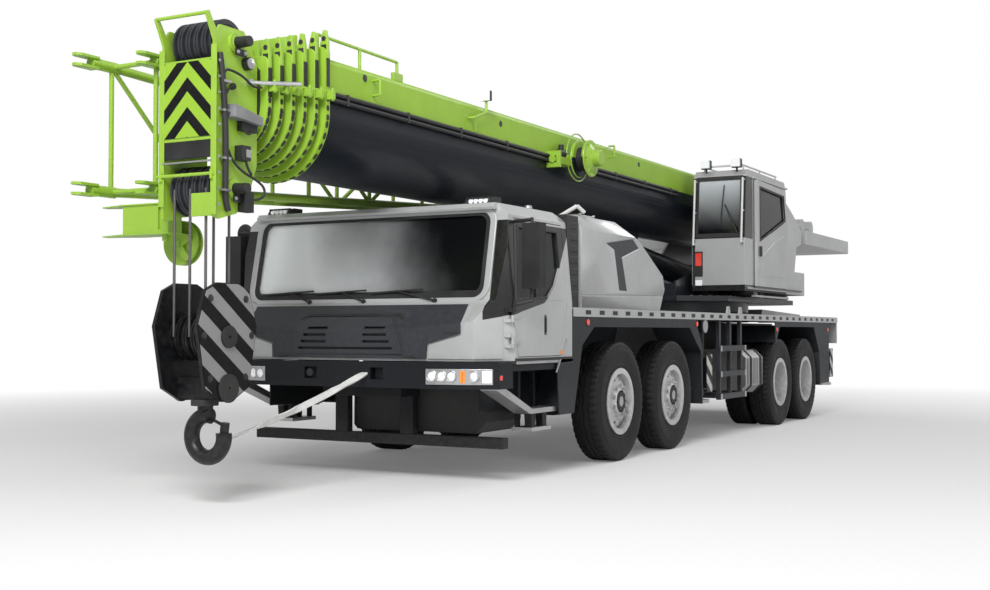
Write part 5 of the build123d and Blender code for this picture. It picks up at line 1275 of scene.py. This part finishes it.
for side, name in ((1, "left"), (-1, "right")):
    runs = ((3.72, -0.34), (-1.12, -4.2)) if side > 0 else ((3.72, -4.2),)
    pipe(f"boom_pipes_{name}",
         [[colour_line(a + (b - a) * t / 4, side * 0.502, drop) for t in range(5)]
          for a, b in runs for drop in (0.020, 0.068)], 0.019, BOOM, hose_rubber)
    clips = Workpiece()
    for k in range(9):
        x = 3.5 - 0.93 * k
        if side > 0 and -1.2 < x < -0.2:
            continue
        low = colour_line(x, 0, 0.10)[2]
        clips.block((x - 0.014, x + 0.014), across(side, 0.474, 0.522), (low + 0.008, low + 0.104))
    for x, z in ((0.78, 3.45), (-2.9, 3.46), (3.2, 3.49)):
        clips.bar((x, side * 0.474, z), (x, side * 0.478, z), 0.032, 24)
    clips.hang(f"boom_clips_{name}", BOOM, black_plastic, "charcoal_paint", 0.003)
reel = Workpiece()
for y in (0.596, 0.748):
    reel.turned([(0.12, y), (0.205, y - 0.008), (0.21, y - 0.002), (0.205, y + 0.010),
                 (0.12, y + 0.012)], (REEL_X, 0, REEL_Z), "y", 56)
reel.turned([(0.004, 0.755), (0.165, 0.755), (0.095, 0.80), (0.092, 0.875), (0.082, 0.885),
             (0.004, 0.885)], (REEL_X, 0, REEL_Z), "y", 48)
reel.bar((-0.64, 0.555, 3.21), (-0.24, 0.555, 3.21), 0.045, 6)
reel.block((-0.70, -0.26), (0.476, 0.60), (3.17, 3.25))
reel.block((-0.30, -0.26), (0.476, 0.64), (3.12, 3.30))
for k in range(6):
    turn = k * pi / 3
    reel.bar(around((REEL_X, 0.765, REEL_Z), "y", 0.09, turn, 0), around((REEL_X, 0.763, REEL_Z),
        "y", 0.19, turn, 0), 0.010, 8)
reel.rail([(1.45, 0.476, 3.41), (1.40, 0.53, 3.42), (1.18, 0.53, 3.50), (1.16, 0.52, 3.62)], 0.014)
reel.bar((1.40, 0.53, 3.42), (1.34, 0.50, 3.30), 0.012, 10)
for x, z in ((3.08, 3.36), (-1.95, 3.44)):
    reel.rail([(x, 0.474, z), (x, 0.55, z), (x, 0.55, z + 0.13), (x, 0.474, z + 0.13)], 0.012)
for side in (-1, 1):
    reel.bar((3.80, side * 0.42, 3.63), (3.80, side * 0.42, 3.75), 0.016, 12)
    reel.bar((3.80, side * 0.42, 3.75), (2.62, side * 0.42, 3.74), 0.014, 12)
    for x in (3.2, 2.62):
        reel.bar((x, side * 0.42, 3.565), (x, side * 0.42, 3.742), 0.014, 12)
    reel.block((2.55, 2.69), across(side, 0.40, 0.44), (3.57, 3.64))
reel.hang("boom_lime_parts", BOOM, lime, "lime_paint", 0.003)
pipe("reel_hoop", [[(REEL_X + 0.29 * cos(k * pi / 8), 0.585,
                     REEL_Z + 0.02 + 0.27 * sin(k * pi / 8)) for k in range(16)]], 0.008, BOOM,
     lime, closed=True)
pipe("reel_cable", [[around((REEL_X, 0.61, REEL_Z), "y", 0.13, k * pi / 6, 0.0011 * k)
                     for k in range(100)]], 0.010, BOOM, hose_rubber)
lamps, motors = workpieces(2)
lamps.block((1.185, 1.20), (0.465, 0.575), (3.615, 3.725))
motors.block((1.13, 1.188), (0.470, 0.570), (3.62, 3.72))
motors.bar((-0.56, 0.55, 3.295), (-0.40, 0.55, 3.295), 0.042, 20)
motors.bar((-0.52, 0.53, 3.30), (-0.52, 0.53, 3.40), 0.030, 16)
lamps.hang("boom_lamp", BOOM, clear_lamp, "lamp_lens", 0.005)
motors.hang("reel_motor", BOOM, black_plastic, "black_plastic", 0.005)
print("boom sides made")

# %% [markdown]
# The flank carries the equipment a driver handles: a ribbed tank in black straps, steps on folded
# arms, dark guard plates and marker lamps. A twisted strap holds the hook. Further back are the
# winches with their rope, the turntable's ring of bolts and the striped tail plates.
# %% Flank, steps and rear
pins, bright, dark, markers = workpieces(4)
for side in (-1, 1):
    for x, z in ((0.893, 1.42), (-2.188, 1.42), (-5.47, 1.36), (-8.30, 1.36)):
        markers.bar((x, side * 1.496, z), (x, side * 1.508, z), 0.030, 24)
    bright.turned([(0.004, side * 1.440), (0.085, side * 1.440), (0.085, side * 1.462),
                   (0.004, side * 1.470)], (-2.60, 0, 1.40), "y", 36)
    for z in (0.52, 0.80, 1.12):
        for x in (-3.085, -4.045):
            bright.block((x - 0.03, x + 0.03), across(side, 1.4955, 1.4995),
                (z - 0.036, z + 0.036))
    y = across(side, 1.30, 1.462)
    bright.side_plate([(2.60, 0.905), (2.66, 0.905), (2.66, 0.83), (2.04, 0.598), (1.52, 0.598),
                       (1.52, 0.642), (2.00, 0.642), (2.60, 0.88)], y)
    bright.block((1.59, 1.97), across(side, 1.235, 1.445), (0.436, 0.470))
    for x in (1.66, 1.88):
        dark.side_plate([(x - 0.01, 0.60), (x + 0.085, 0.60), (x + 0.065, 0.44), (x, 0.44)],
                        across(side, 1.36, 1.43))
    dark.block((1.25, 2.42), across(side, 1.150, 1.166), (0.62, 1.04))
    dark.block((1.25, 2.42), across(side, 1.43, 1.478), (0.985, 1.040))
    markers.block((2.62, 2.665), across(side, 1.470, 1.500), (0.915, 0.955))
    bright.side_plate([(1.335, 1.27), (1.365, 1.27), (1.60, 0.955), (1.57, 0.955)], across(side,
        1.496, 1.4995))
    for middle in (-4.96, -4.53):
        tank_strap = [(1.305, 0.495), (1.412, 0.602), (1.412, 0.988), (1.305, 1.095),
                      (0.80, 1.095), (0.80, 1.101), (1.3075, 1.101), (1.418, 0.9905),
                      (1.418, 0.5995), (1.3075, 0.489)]
        dark.front_plate([(side * y, z) for y, z in tank_strap], (middle - 0.037, middle + 0.037))
    for x in (-5.06, -4.86, -4.80, -4.745, -4.69, -4.63, -4.43):
        dark.block((x - 0.006, x + 0.006), across(side, 1.3995, 1.4025), (0.62, 0.97))
    markers.block((-8.958, -8.948), across(side, 1.00, 1.42), (1.22, 1.34))
pins.bar((2.846, -0.36, 0.965), (2.856, -0.36, 0.965), 0.035, 20)
bright.hang("flank_brightwork", CARRIER, steel, "silver_paint", 0.003)
markers.hang("marker_lamps", CARRIER, red_lamp, "lamp_lens", 0.004)
pins.hang("tow_pins", CARRIER, cast_iron, "frame_grey", 0.003)
dark.hang("flank_dark_parts", CARRIER, frame_grey, "frame_grey", 0.002)
STRAP_EDGE = ((-1, -1), (-0.3, -1.6), (0.4, -0.7), (1, -1), (1, 1), (0.3, 1.7), (-0.4, 0.8),
              (-1, 1))
strap = Workpiece()
foot, head = Vector((4.53, 0.06, 0.480)), Vector((2.855, 0.25, 0.965))
run = (head - foot).normalized()
flat = run.cross(Vector((0, 0, 1))).normalized()
rise = flat.cross(run)
rings = []
for k in range(61):
    turn = 0.35 * sin(k * 0.42) + k * 0.05
    wide = flat * cos(turn) + rise * sin(turn)
    thin = rise * cos(turn) - flat * sin(turn)
    middle = foot + (head - foot) * (k / 60) - Vector((0, 0, 0.03 * sin(pi * k / 60)))
    rings.append([tuple(middle + wide * a * 0.028 + thin * b * 0.007) for a, b in STRAP_EDGE])
strap.stack(rings)
strap.hang("hook_strap", BODY_OF["hook_sling"], white_gloss, "sling_webbing", 0,
           stand_in=("hook_sling",))
ring_bolts = Workpiece()
ring_bolts.bolts([around((SLEW_X, 0, 1.812), "z", 1.04, k * pi / 24, 0) for k in range(48)],
                 (0, 0, 1), 0.020, 0.018)
ring_bolts.hang("ring_bolts", UPPER, steel, "charcoal_paint", 0.001)
for index, x in enumerate(WINCHES):
    pipe(f"winch_rope_{index + 1}", [[around((x, -0.48, 3.11), "y", 0.178, k * pi / 4, 0.0035 * k)
                                      for k in range(272)]], 0.0125, UPPER, rope_wire)
rear = Workpiece()
for side in (-1, 1):
    rear.block((-10.008, -9.995), across(side, 0.70, 1.40), (2.70, 2.86))
rear.hang("tail_plates", UPPER, end_stripes, "silver_paint", 0.003)
print("flank and rear made")
